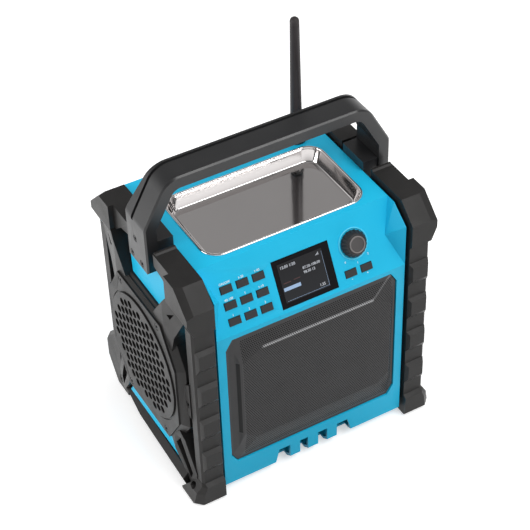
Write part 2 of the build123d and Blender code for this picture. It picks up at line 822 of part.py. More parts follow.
tie = side_prism(
    [(-74.0, disc_z - 10.5), (-64.0, disc_z - 10.5), (-64.0, disc_z + 9.5), (-74.0, disc_z + 9.5)],
    frame_inner_x, frame_outer_x - 4,
)
frame_half = upright + high_arm + low_arm + lug + tie

rail_end = rail_half + 5.0
rail_outline = [(-44.0, rail_z - 11.0), (44.0, rail_z - 11.0), (rail_end, rail_z), (-rail_end, rail_z)]
rail = side_prism(rail_outline, frame_inner_x, pod_outer_x - 3)


def sill_section(y, outer_x):
    points = [
        (frame_inner_x, sill_low_z), (outer_x - 3, sill_low_z), (outer_x, foot_side_z),
        (outer_x - 6, sill_high_z), (frame_inner_x, sill_high_z),
    ]
    return make_face(Polyline(*[(x, y, z) for x, z in points], close=True))


sill_front = sill_section(-foot_back_y - 4, foot_outer_x)
sill_middle = sill_section(sill_bend_y, foot_outer_x - 2.5)
sill_back = sill_section(pillar_back_y + 1, sill_end_x)
sill = loft([sill_front, sill_middle], ruled=True) + loft([sill_middle, sill_back], ruled=True)

pod_outline = [(y, z) for y, z in pod_half] + [(-y, z) for y, z in reversed(pod_half)]


def pod_face(x, grow):
    outline = make_face(Plane.YZ * Polyline(*pod_outline, close=True))
    return Pos(x, 0, 0) * offset(outline, grow, kind=Kind.INTERSECTION)


pod_base = Pos(pod_inner_x, 0, 0) * extrude(
    offset(make_face(Plane.YZ * Polyline(*pod_outline, close=True)), pod_bevel, kind=Kind.INTERSECTION),
    amount=pod_rim_x - pod_inner_x, dir=(1, 0, 0),
)
pod = pod_base + loft([pod_face(pod_rim_x, pod_bevel), pod_face(pod_outer_x, 0)], ruled=True)
pod_axis = Plane(origin=(pod_inner_x - 1, 0, disc_z), z_dir=(1, 0, 0))
pod_bore = rod(pod_bore_r, 60, pod_axis)

guard = frame_half + mirror(frame_half, about=Plane.XZ) + foot + heel + rail + sill + pod
guard = guard - pod_bore

# the handle's legs stand in the gap between the corner blocks
handle_half = handle_depth / 2
leg_room = block(
    guard_inner_x - 5, handle_outer_x + 10, handle_center_y - handle_half - seat_gap,
    handle_center_y + handle_half + seat_gap, handle_low_z - seat_gap, handle_top_z,
)
guard = guard - leg_room

plate_screw_spots = []
for place_y in (-plate_screw_y, plate_screw_y):
    for place_z in (plate_screw_low_z, plate_screw_high_z):
        plate_screw_spots.append((place_y, place_z))
for place_y, place_z in plate_screw_spots:
    place = Plane(origin=(plate_face_x, place_y, place_z), z_dir=(1, 0, 0))
    guard = guard - place * screw_hole(plate_screw_length, plate_screw_head)
for place_y, place_z in guard_screw_places:
    place = Plane(origin=(frame_outer_x, place_y, place_z), z_dir=(1, 0, 0))
    guard = guard + rod(4.6, frame_outer_x - body_half_width - seat_gap, Plane(
        origin=(body_half_width + seat_gap, place_y, place_z), z_dir=(1, 0, 0)))
    guard = guard - place * screw_hole(guard_screw_length)
guard_right, guard_left = both_sides(guard)

# rubber pads under the feet
pad_points = [
    (guard_inner_x + 4, foot_face_y - 8.0), (foot_outer_x - 8, foot_face_y - 8.0),
    (foot_outer_x - 4, foot_face_y - 13.0), (foot_outer_x - 4, foot_back_y + 4),
    (guard_inner_x + 4, foot_back_y + 4),
]
pad = extrude(
    make_face(Polyline(*[(x, -y, 0) for x, y in pad_points], close=True)),
    amount=foot_pad_height, dir=(0, 0, 1),
)
rear_pad = block(
    guard_inner_x + 4, heel_outer_x - 4, pillar_back_y - 4, heel_base_y - 3, 0, foot_pad_height
)
pads = []
for part in (pad, rear_pad):
    pads.extend(both_sides(part))

# ======================================================================================
# side plates: raised disc with a field of round holes
# ======================================================================================
plate = side_prism(pod_outline, pod_outer_x, plate_face_x)
disc_plane = Plane(origin=(pod_outer_x, 0, disc_z), z_dir=(1, 0, 0))
plate = plate + rod(disc_r, disc_face_x - pod_outer_x, disc_plane) & side_prism(
    pod_outline, pod_outer_x, disc_face_x + 1
)
groove_plane = Plane(origin=(plate_face_x - groove_depth, 0, disc_z), z_dir=(1, 0, 0))
groove = rod(disc_r + groove_width, 10, groove_plane) - rod(disc_r, 10, groove_plane)
plate = plate - groove
hole_spots = []
row_step = hole_pitch * math.sqrt(3) / 2
reach = int(hole_field_r / row_step) + 1
for column in range(-reach, reach + 1):
    shift = hole_pitch / 2 if column % 2 else 0.0
    for row in range(-reach, reach + 1):
        spot_y = column * row_step
        spot_z = row * hole_pitch + shift
        if math.hypot(spot_y, spot_z) <= hole_field_r - hole_r:
            hole_spots.append((spot_y, spot_z))
hole_face = Sketch() + [Pos(spot_y, spot_z) * Circle(hole_r) for spot_y, spot_z in hole_spots]
hole_tool = extrude(
    Plane(origin=(pod_outer_x - 2, 0, disc_z), x_dir=(0, 1, 0), z_dir=(1, 0, 0)) * hole_face,
    amount=12, dir=(1, 0, 0),
)
plate = plate - hole_tool
for place_y, place_z in plate_screw_spots:
    place = Plane(origin=(plate_face_x, place_y, place_z), z_dir=(1, 0, 0))
    plate = plate - place * screw_hole(plate_screw_length, plate_screw_head)
plate_right, plate_left = both_sides(plate)

side_driver_plane = Plane(origin=(bulge_face_x + driver_flange, 0, disc_z), z_dir=(-1, 0, 0))
side_driver = driver(side_driver_flange_r, side_driver_hole_r, side_driver_depth, side_driver_plane)
side_driver_right, side_driver_left = both_sides(side_driver)

# ======================================================================================
# handle
# ======================================================================================
handle_base = handle_low_z
outer_points = [
    (-handle_outer_x, handle_base), (-handle_outer_x, handle_shoulder_z), (-handle_corner_x, handle_top_z),
    (handle_corner_x, handle_top_z), (handle_outer_x, handle_shoulder_z), (handle_outer_x, handle_base),
]


def handle_face(points, bend, shoulder):
    flat = make_face(Polyline(*points, close=True))
    tops = [v for v in flat.vertices() if v.Y > handle_shoulder_z + 10]
    flat = fillet(tops, bend)
    sides = [v for v in flat.vertices() if abs(v.Y - points[1][1]) < 0.01]
    return fillet(sides, shoulder)


def handle_solid(flat, y_from, y_to):
    standing = Plane(origin=(0, y_from, 0), x_dir=(1, 0, 0), z_dir=(0, -1, 0)) * flat
    return extrude(standing, amount=y_to - y_from, dir=(0, 1, 0))


outer_flat = handle_face(outer_points, handle_bend_r, handle_shoulder_r)
inner_flat = offset(outer_flat, -handle_thickness)
handle_front_y = handle_center_y - handle_half
handle_back_y = handle_center_y + handle_half
handle = handle_solid(outer_flat, handle_front_y, handle_back_y)
handle = chamfer(
    [e for e in handle.edges() if abs(e.center().Y - handle_front_y) < 0.01 or abs(e.center().Y - handle_back_y) < 0.01],
    handle_edge,
)
handle = handle - handle_solid(inner_flat, handle_front_y - 1, handle_back_y + 1)
back_slope = [
    (handle_front_y - 1, handle_low_z - 1), (handle_back_y + 1, handle_low_z - 1),
    (handle_back_y + 1, handle_shoulder_z - 4), (handle_back_y, handle_shoulder_z - 3),
    (handle_bar_back_y, handle_top_z - 6), (handle_bar_back_y - 1.5, handle_top_z + 1),
    (handle_front_y - 1, handle_top_z + 1),
]
handle = handle & side_prism(back_slope, -handle_outer_x - 1, handle_outer_x + 1)
leg_inner_x = handle_outer_x - handle_thickness
handle = handle - block(-leg_inner_x, leg_inner_x, -60, 60, handle_low_z - 1, handle_shoulder_z - 15)
bracket = block(
    body_half_width, leg_inner_x, handle_front_y + handle_edge, handle_back_y - handle_edge,
    handle_low_z, bracket_top_z,
)
outer_skin = handle_solid(
    outer_flat, handle_groove_y - handle_groove_width / 2, handle_groove_y + handle_groove_width / 2
) - handle_solid(
    offset(outer_flat, -handle_groove_depth),
    handle_groove_y - handle_groove_width, handle_groove_y + handle_groove_width,
)
groove_tool = outer_skin & block(-200, 200, -60, 60, handle_shoulder_z - 3, 400)
handle = handle - groove_tool
handle_holes = [(y, z, handle_screw_length) for y, z in handle_screw_places]
handle_holes = handle_holes + [(y, z, bracket_screw_length) for y, z in bracket_screw_places]
for place_y, place_z, length in handle_holes:
    place = Plane(origin=(handle_outer_x, place_y, place_z), z_dir=(1, 0, 0))
    bracket = bracket - place * screw_hole(length)
    for part in both_sides(place * screw_hole(length)):
        handle = handle - part
brackets = both_sides(bracket)

# ======================================================================================
# tool tray
# ======================================================================================
def tray_loft(inset_top, inset_low, z_top, z_low):
    top = Pos(0, (tray_front_y + tray_back_y) / 2, z_top) * RectangleRounded(
        2 * (tray_half_width - inset_top), tray_back_y - tray_front_y - 2 * inset_top, tray_corner_r - inset_top
    )
    low = Pos(0, (tray_front_y + tray_back_y) / 2, z_low) * RectangleRounded(
        2 * (tray_half_width - inset_low - tray_wall_run),
        tray_back_y - tray_front_y - 2 * (inset_low + tray_wall_run), tray_corner_r - inset_low - tray_wall_run,
    )
    return loft([top, low], ruled=True)


rim_z = top_z + tray_rim_height
rim_inset = tray_rim_width
tray = rounded_prism(tray_half_width, tray_front_y, tray_back_y, tray_corner_r, top_z, rim_z)
tray = tray + tray_loft(rim_inset, rim_inset, top_z, top_z - tray_depth)
tray = tray - tray_loft(
    rim_inset + tray_sheet - 1.0, rim_inset + tray_sheet, rim_z + 0.01, top_z - tray_depth + tray_sheet
)

# ======================================================================================
# display
# ======================================================================================
lens = display_place * Pos(0, 0, display_proud - display_sheet / 2) * Box(
    display_width, display_height, display_sheet
)
module = display_place * Pos(0, 0, -display_seat - module_thickness / 2) * Box(
    window_width - 2 * hole_gap, window_height - 2 * hole_gap, module_thickness
)

display_board_margin = 5.0
display_board_top = -display_seat - module_thickness
display_board_width = window_width + 2 * display_board_margin
display_board = display_place * Pos(0, 0, display_board_top - board_thickness / 2) * Box(
    display_board_width, window_height, board_thickness
)
display_post_height = -wall - display_board_top
for side in (-1, 1):
    for end in (-1, 1):
        post_x = side * (window_width / 2 + display_board_margin / 2)
        post_y = end * (window_height / 2 - 5)
        display_board = display_board + display_place * Pos(
            post_x, post_y, display_board_top + display_post_height / 2
        ) * Box(2.4, 5.0, display_post_height)

# ======================================================================================
# buttons, switch board
# ======================================================================================
flange_top = -wall - 0.1
flange_low = flange_top - button_flange
switch_top = flange_low - button_travel - 0.1
board_top = switch_top - switch_height


def button():
    cap_height = button_proud - flange_top
    cap = Pos(0, 0, button_proud - cap_height / 2) * Box(button_width, button_height, cap_height)
    cap = chamfer(cap.edges().group_by(Axis.Z)[-1], 0.4)
    lip = Pos(0, 0, flange_top - button_flange / 2) * Box(
        button_width + 2 * button_flange_lip, button_height + 2 * button_flange_lip, button_flange
    )
    return cap + lip


buttons = []
for name, place_x, place_y in button_places:
    buttons.append((name, panel * Pos(place_x, place_y, 0) * button()))


def switch_board(names, margin, low_edge, high_edge):
    spots = [(x, y) for name, x, y in button_places if name.startswith(names)]
    x_from = min(x for x, y in spots) - margin
    x_to = max(x for x, y in spots) + margin
    board = panel * Pos((x_from + x_to) / 2, (low_edge + high_edge) / 2, board_top - board_thickness / 2) * Box(
        x_to - x_from, high_edge - low_edge, board_thickness
    )
    for x, y in spots:
        board = board + panel * Pos(x, y, board_top + switch_height / 2) * Box(
            switch_width, switch_width * 0.7, switch_height
        )
    return board


board_side = 9.5
board_end = 6.2
post_inset = 1.4
menu_board = switch_board("menu", board_side, button_row_y[-1] - board_end, button_row_y[0] + board_end)
preset_board = switch_board("preset", board_side, preset_y - board_end, preset_y + board_end)
post_spots = []
for place_x in (button_column_x[0] - board_side + post_inset, button_column_x[-1] + board_side - post_inset):
    for row_y in button_row_y[1:]:
        post_spots.append((place_x, row_y + 7.7))
for place_x in (preset_x[0] - board_side + post_inset, preset_x[-1] + board_side - post_inset):
    post_spots.append((place_x, preset_y))
for place_x, place_y in post_spots:
    post_height = -wall - board_top
    post = panel * Pos(place_x, place_y, -wall - post_height / 2 + 0.25) * Box(1.6, 4.0, post_height + 0.5)
    housing_front = housing_front + post

# ======================================================================================
# tuning knob, its ring and encoder
# ======================================================================================
knob_low = knob_lift
knob_high = knob_low + knob_height
align_low = (Align.CENTER, Align.CENTER, Align.MIN)
knob = knob_plane * Pos(0, 0, knob_low) * Cone(knob_base_r, knob_top_r, knob_height, align=align_low)
for number in range(knob_flutes):
    turn = Rot(0, 0, 360.0 / knob_flutes * number)
    knob = knob - knob_plane * turn * Pos(knob_base_r + 0.2, 0, knob_low) * Cylinder(
        knob_flute_r, knob_height, align=align_low
    )
knob = knob - knob_plane * Pos(0, 0, knob_low - 1) * Cylinder(shaft_r + 0.02, knob_height - 2, align=align_low)
bushing_top = 2.0
knob_hollow = knob_plane * Pos(0, 0, knob_low - 0.1) * Cylinder(
    bushing_r + 0.8, bushing_top - knob_low + 0.5, align=align_low
)
knob = knob - knob_hollow
cap = knob_plane * Pos(0, 0, knob_high) * Cylinder(knob_cap_r, knob_cap_height, align=align_low)
cap = cap - knob_plane * Pos(0, 0, knob_high + knob_cap_height - knob_socket_depth) * Cylinder(
    knob_socket_r, knob_socket_depth + 1, align=align_low
)
shaft_low = -wall - encoder_depth + 1
shaft = knob_plane * Pos(0, 0, shaft_low) * Cylinder(
    shaft_r, knob_low + knob_height - 3 - shaft_low, align=align_low
)
encoder = knob_plane * Pos(0, 0, -wall - encoder_depth / 2) * Box(encoder_width, encoder_width, encoder_depth)
encoder = encoder + knob_plane * Pos(0, 0, -wall - 1) * Cylinder(bushing_r, wall + 1 + bushing_top, align=align_low)
encoder = encoder - knob_plane * Pos(0, 0, shaft_low - 0.1) * Cylinder(shaft_r + running_gap, 30, align=align_low)
knob_ring = knob_plane * (
    Cylinder(ring_outer_r, ring_height, align=align_low) - Cylinder(ring_inner_r, ring_height, align=align_low)
)

# ======================================================================================
# antenna: socket, fork, pin, rod
# ======================================================================================
pivot_z = top_z + antenna_pivot_rise
tongue_half = antenna_tongue / 2
fork_gap = tongue_half + slide_gap
socket = rod(antenna_socket_r, antenna_socket_height, antenna_plane)
socket = socket + antenna_plane * Pos(0, 0, -wall - 4) * Cylinder(
    socket_neck_r, wall + 5, align=align_low
)
fork = block(
    antenna_x - 4.5, antenna_x + 4.5, antenna_y - antenna_fork_half, antenna_y + antenna_fork_half,
    top_z + antenna_socket_height - 0.5, pivot_z,
)
fork_pivot = Plane(origin=(antenna_x, antenna_y - antenna_fork_half, pivot_z), z_dir=(0, 1, 0))
fork = fork + rod(4.5, 2 * antenna_fork_half, fork_pivot)
fork = fork - block(
    antenna_x - 10, antenna_x + 10, antenna_y - fork_gap, antenna_y + fork_gap,
    top_z + antenna_socket_height + 1, pivot_z + 10,
)
socket = socket + fork
socket = socket - rod(antenna_pin_r + running_gap, 2 * antenna_fork_half + 2, fork_pivot.offset(-1))
antenna_pin = rod(antenna_pin_r, 2 * antenna_fork_half - 1, fork_pivot.offset(0.5))
rod_low_z = pivot_z + 7.0
tongue_plane = Plane(origin=(antenna_x, antenna_y - tongue_half, pivot_z), z_dir=(0, 1, 0))
tongue = rod(4.3, antenna_tongue, tongue_plane) + block(
    antenna_x - 4.3, antenna_x + 4.3, antenna_y - tongue_half, antenna_y + tongue_half, pivot_z, rod_low_z + 1
)
tongue = tongue + rod(antenna_low_r + 0.6, 6.0, Plane(origin=(antenna_x, antenna_y, rod_low_z), z_dir=(0, 0, 1)))
tongue = tongue - rod(antenna_pin_r, antenna_tongue + 2, tongue_plane.offset(-1))
sheath_low_z = rod_low_z + 6.0
sheath_length = antenna_top_z - antenna_tip_r - sheath_low_z
sheath = Pos(antenna_x, antenna_y, sheath_low_z) * Cone(
    antenna_low_r, antenna_tip_r, sheath_length, align=align_low
)
sheath = sheath + Pos(antenna_x, antenna_y, antenna_top_z - antenna_tip_r) * Sphere(antenna_tip_r)
ring_z = antenna_top_z - antenna_ring_drop
sheath = sheath - (
    Pos(antenna_x, antenna_y, ring_z) * (Cylinder(antenna_tip_r + 2, 0.8) - Cylinder(antenna_tip_r - 0.2, 0.8))
)

# ======================================================================================
# battery door, latch, terminal block
# ======================================================================================
door_back_y = back_y + door_sheet - door_recess
door = front_prism(
    [(door_left, door_low), (door_right, door_low), (door_right, door_high), (door_left, door_high)],
    back_y - door_recess, door_back_y,
)
hinge_x = door_left - hinge_r - 1.5
hinge_y = back_y + hinge_r + 0.4
housing_knuckles = []
door_knuckles = []
pins = []
for offset_z, length in hinge_lengths:
    center_z = door_z + offset_z
    door_part = Plane(origin=(hinge_x, hinge_y, center_z - length / 2 + slide_gap), z_dir=(0, 0, 1))
    knuckle = rod(hinge_r, length - 2 * slide_gap, door_part)
    strap = block(
        hinge_x, door_left + 8, back_y + seat_gap, hinge_y + hinge_r - 0.6,
        center_z - length / 2 + slide_gap, center_z + length / 2 - slide_gap,
    )
    door_knuckles.append(knuckle + strap)
    for end in (-1, 1):
        ear_center = center_z + end * (length / 2 + 3.0)
        ear_plane = Plane(origin=(hinge_x, hinge_y, ear_center - 3.0), z_dir=(0, 0, 1))
        ear = rod(hinge_r, 6.0, ear_plane) + block(
            hinge_x - hinge_r, hinge_x + hinge_r, back_y - 0.5, hinge_y, ear_center - 3.0, ear_center + 3.0
        )
        housing_knuckles.append(ear)
    pins.append(rod(hinge_pin_r, length + 11.0, Plane(
        origin=(hinge_x, hinge_y, center_z - length / 2 - 5.5), z_dir=(0, 0, 1))))
pin_room = rod(hinge_pin_r + running_gap, door_height + 60, Plane(
    origin=(hinge_x, hinge_y, door_low - 30), z_dir=(0, 0, 1)))
for part in housing_knuckles:
    housing_rear = housing_rear + (part - pin_room)
pin_seat = rod(hinge_pin_r, door_height + 60, Plane(
    origin=(hinge_x, hinge_y, door_low - 30), z_dir=(0, 0, 1)))
for part in door_knuckles:
    door = door + (part - pin_seat)

# latch: a turn button on the frame beside the door, drawn turned clear of the door
latch_plane = Plane(
    origin=(door_right + latch_offset, door_back_y + seat_gap, door_z), x_dir=(1, 0, 0), z_dir=(0, 1, 0)
)
latch_arm = latch_plane * Pos(0, -latch_length / 2, latch_thickness / 2) * Box(
    latch_width, latch_length, latch_thickness
)
latch = latch_arm + rod(latch_width / 2, latch_thickness, latch_plane)
latch = latch + rod(latch_width / 2, latch_thickness, latch_plane * Pos(0, -latch_length, 0))
latch = latch + latch_plane * Pos(0, -latch_length, latch_thickness) * Box(
    latch_width - 3.0, 2.0, latch_grip, align=(Align.CENTER, Align.CENTER, Align.MIN)
)
latch_bore = rod(screw_shank_r + running_gap, 2 * latch_thickness, latch_plane.offset(-1))
latch_well = rod(screw_recess_r, screw_head_height + 1, latch_plane.offset(latch_thickness - screw_head_height))
latch = latch - latch_bore - latch_well
latch_boss = rod(latch_width / 2 + 1.0, latch_boss_depth, latch_plane.offset(-slide_gap - latch_boss_depth))
latch_screw_place = latch_plane.offset(latch_thickness)
housing_rear = housing_rear + latch_boss
housing_rear = housing_rear - latch_screw_place * screw_hole(latch_screw_length)
latch_screw = latch_screw_place.offset(slide_gap) * screw(latch_screw_length)

terminal = block(
    door_x - terminal_width / 2, door_x + terminal_width / 2, bay_front_y, bay_front_y + terminal_depth,
    bay_high - terminal_height - 20, bay_high - 20,
)
for place_x in (-14.0, 0.0, 14.0):
    terminal = terminal + block(
        door_x + place_x - terminal_blade / 2, door_x + place_x + terminal_blade / 2,
        bay_front_y + terminal_depth - 0.5, bay_front_y + terminal_depth + 9,
        bay_high - terminal_height - 16, bay_high - 24,
    )

# ======================================================================================
# power inlet, charge socket and their flap
# ======================================================================================
inlet = rod(inlet_r, inlet_depth, inlet_plane)
inlet = inlet - rod(inlet_bore_r, inlet_depth - 2, inlet_plane.offset(-0.01))
inlet = inlet + rod(inlet_pin_r, inlet_depth - 3, inlet_plane.offset(2))
usb = block(
    inlet_x - usb_width / 2, inlet_x + usb_width / 2, back_y - 12, back_y - flap_recess,
    usb_z - usb_height / 2, usb_z + usb_height / 2,
)
usb = usb - block(
    inlet_x - usb_width / 2 + 0.6, inlet_x + usb_width / 2 - 0.6, back_y - 11, back_y,
    usb_z - usb_height / 2 + 0.6, usb_z + usb_height / 2 - 0.6,
)
flap_low_y = back_y - flap_recess + seat_gap
flap_face_y = flap_low_y + flap_sheet
flap_hinge_x = inlet_x - flap_width / 2 + flap_bead_r
flap_hinge_y = flap_face_y + flap_bead_r / 2
flap = block(
    flap_hinge_x, inlet_x + flap_width / 2, flap_low_y, flap_face_y,
    flap_z - flap_height / 2, flap_z + flap_height / 2,
)
flap_bead_plane = Plane(origin=(flap_hinge_x, flap_hinge_y, flap_z - flap_height / 2), z_dir=(0, 0, 1))
flap = flap + rod(flap_bead_r, flap_height, flap_bead_plane)
flap_tab = block(
    inlet_x + flap_width / 2 - 5, inlet_x + flap_width / 2 - 1, flap_face_y - 0.2, flap_face_y + 1.2,
    flap_z - 5, flap_z + 5,
)
flap = flap + flap_tab

# ======================================================================================
# main board inside
# ======================================================================================
main_board = block(
    -main_board_width / 2, main_board_width / 2, main_board_y - main_board_depth / 2,
    main_board_y + main_board_depth / 2, main_board_z, main_board_z + board_thickness,
)
chips = [(-40.0, -8.0, 18.0, 3.0), (10.0, 6.0, 14.0, 2.5), (48.0, -4.0, 22.0, 8.0)]
for chip_x, chip_y, chip_size, chip_height in chips:
    main_board = main_board + block(
        chip_x - chip_size / 2, chip_x + chip_size / 2, main_board_y + chip_y - chip_size / 2,
        main_board_y + chip_y + chip_size / 2, main_board_z + board_thickness,
        main_board_z + board_thickness + chip_height,
    )
for place_x in (-main_board_width / 2 + 8, main_board_width / 2 - 8):
    for place_y in (main_board_y - main_board_depth / 2 + 8, main_board_y + main_board_depth / 2 - 8):
        low = base_z + wall - 0.5
        stand = Pos(place_x, place_y, low) * Cylinder(post_r, main_board_z - low, align=align_low)
        housing_front = housing_front + stand

# ======================================================================================
# screws
# ======================================================================================
plate_screws = []
for place_y, place_z in plate_screw_spots:
    place = Plane(origin=(plate_face_x - slide_gap, place_y, place_z), z_dir=(1, 0, 0))
    plate_screws.extend(both_sides(place * screw(plate_screw_length - 1, plate_screw_head)))
guard_screws = []
for place_y, place_z in guard_screw_places:
    place = Plane(origin=(frame_outer_x - slide_gap, place_y, place_z), z_dir=(1, 0, 0))
    guard_screws.extend(both_sides(place * screw(guard_screw_length - 1)))
handle_screws = []
for place_y, place_z, length in handle_holes:
    place = Plane(origin=(handle_outer_x - slide_gap, place_y, place_z), z_dir=(1, 0, 0))
    handle_screws.extend(both_sides(place * screw(length - 1)))
shell_screws = [place * Pos(0, 0, -slide_gap) * screw(shell_screw_length - 1) for place in corner_screws]

# ======================================================================================
# save
# ======================================================================================
save(housing_front, "housing_front")
save(housing_rear, "housing_rear")
save(front_grille, "front_grille")
save(front_driver, "front_driver")
save(guard_left, "guard_left")
save(guard_right, "guard_right")
save(plate_left, "side_plate_left")
save(plate_right, "side_plate_right")
save(side_driver_left, "side_driver_left")
save(side_driver_right, "side_driver_right")
save(Compound(children=pads), "foot_pads")
save(handle, "handle")
save(Compound(children=brackets), "handle_brackets")
save(tray, "tool_tray")
save(lens, "display_lens")
save(module, "display_module")
save(display_board, "display_board")
for name, shape in buttons:
    save(shape, name)
save(menu_board, "menu_board")
save(preset_board, "preset_board")
save(knob, "tuning_knob")
save(cap, "knob_cap")
save(shaft, "knob_shaft")
save(encoder, "knob_encoder")
save(knob_ring, "knob_ring")
save(socket, "antenna_socket")
save(antenna_pin, "antenna_pin")
save(tongue, "antenna_ferrule")
save(sheath, "antenna_sheath")
save(door, "battery_door")
save(Compound(children=pins), "door_hinge_pins")
save(latch, "door_latch")
save(latch_screw, "latch_screw")
save(terminal, "battery_terminal")
save(inlet, "power_inlet")
save(usb, "charge_socket")
save(flap, "inlet_flap")
save(main_board, "main_board")
save(Compound(children=plate_screws), "plate_screws")
save(Compound(children=guard_screws), "guard_screws")
save(Compound(children=handle_screws), "handle_screws")
save(Compound(children=shell_screws), "shell_screws")
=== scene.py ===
import json
import math

import bmesh
import bpy
import numpy as np
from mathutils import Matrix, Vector


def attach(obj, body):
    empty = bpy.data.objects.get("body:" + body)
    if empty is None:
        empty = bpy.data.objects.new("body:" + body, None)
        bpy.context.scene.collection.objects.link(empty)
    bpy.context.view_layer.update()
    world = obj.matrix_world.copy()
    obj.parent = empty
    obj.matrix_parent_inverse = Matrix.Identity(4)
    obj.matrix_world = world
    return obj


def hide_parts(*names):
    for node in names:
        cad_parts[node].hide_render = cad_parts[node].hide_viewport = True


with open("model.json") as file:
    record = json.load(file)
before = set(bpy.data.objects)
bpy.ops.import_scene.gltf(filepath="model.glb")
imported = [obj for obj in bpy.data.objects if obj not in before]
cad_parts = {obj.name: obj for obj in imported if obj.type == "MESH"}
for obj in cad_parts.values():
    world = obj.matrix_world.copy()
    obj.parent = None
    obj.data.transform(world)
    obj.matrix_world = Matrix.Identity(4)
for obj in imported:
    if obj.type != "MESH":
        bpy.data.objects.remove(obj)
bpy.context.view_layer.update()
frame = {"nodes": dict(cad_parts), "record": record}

mm = 0.001
housingShift = -10.5  # the housing's middle lies this far in front of the origin
nodes = frame["nodes"]
print("frame loaded,", len(nodes), "nodes")

# the tilted control panel: its lower front edge, its way up and its way out
panelSizes = {"frontY": -93.5, "lowZ": 208.1, "topZ": 270.6, "run": 32.7}
panelTilt = math.atan2(panelSizes["run"], panelSizes["topZ"] - panelSizes["lowZ"])
panelUp = np.array([0.0, math.sin(panelTilt), math.cos(panelTilt)])
panelOut = np.array([0.0, -math.cos(panelTilt), math.sin(panelTilt)])
panelRight = np.array([1.0, 0.0, 0.0])
panelCorner = np.array([0.0, panelSizes["frontY"], panelSizes["lowZ"]])


def toFrame(points):
    # housing millimetres to frame metres: (x, y + shift, z) / 1000
    points = np.asarray(points, float).reshape(-1, 3)
    return (points + [0.0, housingShift, 0.0]) * mm


def onPanel(x, s, h):
    # corner + x * right + s * up + h * out, arrays allowed
    x, s, h = np.broadcast_arrays(np.asarray(x, float), s, h)
    return panelCorner + x[..., None] * panelRight + s[..., None] * panelUp + h[..., None] * panelOut


def gridFaces(rows, cols, wrapRows=False, wrapCols=False):
    # quads (i, j), (i+1, j), (i+1, j+1), (i, j+1) of a rows x cols grid
    rowSteps = np.arange(rows if wrapRows else rows - 1)
    colSteps = np.arange(cols if wrapCols else cols - 1)
    i, j = np.meshgrid(rowSteps, colSteps, indexing="ij")
    i, j = i.ravel(), j.ravel()
    ii, jj = (i + 1) % rows, (j + 1) % cols
    return np.stack([i * cols + j, ii * cols + j, ii * cols + jj, i * cols + jj], axis=1).tolist()


def newPiece(name, verts, faces, material, body, smooth=True):
    # points in frame metres, faces as lists of point numbers; doubles merged, faces turned outwards
    mesh = bpy.data.meshes.new(name)
    mesh.from_pydata(verts.tolist(), [], faces)
    bm = bmesh.new()
    bm.from_mesh(mesh)
    bmesh.ops.remove_doubles(bm, verts=bm.verts, dist=0.0001 * mm)
    bmesh.ops.recalc_face_normals(bm, faces=bm.faces)
    bm.to_mesh(mesh)
    bm.free()
    mesh.polygons.foreach_set("use_smooth", np.full(len(mesh.polygons), smooth))
    return placePiece(name, mesh, material, body)


def placePiece(name, mesh, material, body):
    piece = bpy.data.objects.new(name, mesh)
    bpy.context.scene.collection.objects.link(piece)
    mesh.materials.clear()
    mesh.materials.append(material)
    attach(piece, body)
    return piece


# angles in degrees, lengths in millimetres
softLook = {"segments": 2, "bevelFrom": 18.0, "sharpFrom": 13.0, "flatWithin": 1.0, "mergeWithin": 0.002}


def softened(nodeName, material, body, width):
    # a merged copy of a CAD node with small rounded edges; it stands for that node
    source = nodes[nodeName]
    mesh = source.data.copy()
    bm = bmesh.new()
    bm.from_mesh(mesh)
    bmesh.ops.remove_doubles(bm, verts=bm.verts, dist=softLook["mergeWithin"] * mm)
    flatAngle = math.radians(softLook["flatWithin"])
    bmesh.ops.dissolve_limit(bm, angle_limit=flatAngle, verts=bm.verts, edges=bm.edges)
    bm.to_mesh(mesh)
    bm.free()
    piece = placePiece(nodeName + "_soft", mesh, material, body)
    mesh.polygons.foreach_set("use_smooth", np.full(len(mesh.polygons), True))
    mesh.set_sharp_from_angle(angle=math.radians(softLook["sharpFrom"]))
    edge = piece.modifiers.new("edge", "BEVEL")
    edge.width = width * mm
    edge.segments = softLook["segments"]
    edge.limit_method = "ANGLE"
    edge.angle_limit = math.radians(softLook["bevelFrom"])
    edge.harden_normals = True
    edge.miter_outer = "MITER_ARC"
    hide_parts(nodeName)


def bodyOf(nodeName):
    for name, members in frame["record"]["behaviour"]["bodies"].items():
        if nodeName in members:
            return name
    return "housing"


def newGroup(name, inputs, outputs):
    group = bpy.data.node_groups.new(name, "ShaderNodeTree")
    for socketName, kind, value in inputs:
        socket = group.interface.new_socket(name=socketName, in_out="INPUT", socket_type=kind)
        if value is not None:
            socket.default_value = value
    for socketName, kind in outputs:
        group.interface.new_socket(name=socketName, in_out="OUTPUT", socket_type=kind)
    start = group.nodes.new("NodeGroupInput")
    end = group.nodes.new("NodeGroupOutput")
    return group, start, end


def mathNode(tree, operation, a, b=None, c=None, clamp=False):
    node = tree.nodes.new("ShaderNodeMath")
    node.operation = operation
    node.use_clamp = clamp
    for index, value in enumerate((a, b, c)):
        if value is None:
            continue
        if hasattr(value, "links"):
            tree.links.new(value, node.inputs[index])
        else:
            node.inputs[index].default_value = value
    return node.outputs[0]


def vectorNode(tree, operation, a, b=None, scale=None):
    node = tree.nodes.new("ShaderNodeVectorMath")
    node.operation = operation
    for index, value in enumerate((a, b)):
        if value is None:
            continue
        if hasattr(value, "links"):
            tree.links.new(value, node.inputs[index])
        else:
            node.inputs[index].default_value = value
    if scale is not None:
        if hasattr(scale, "links"):
            tree.links.new(scale, node.inputs["Scale"])
        else:
            node.inputs["Scale"].default_value = scale
    return node.outputs["Value" if operation == "LENGTH" else "Vector"]


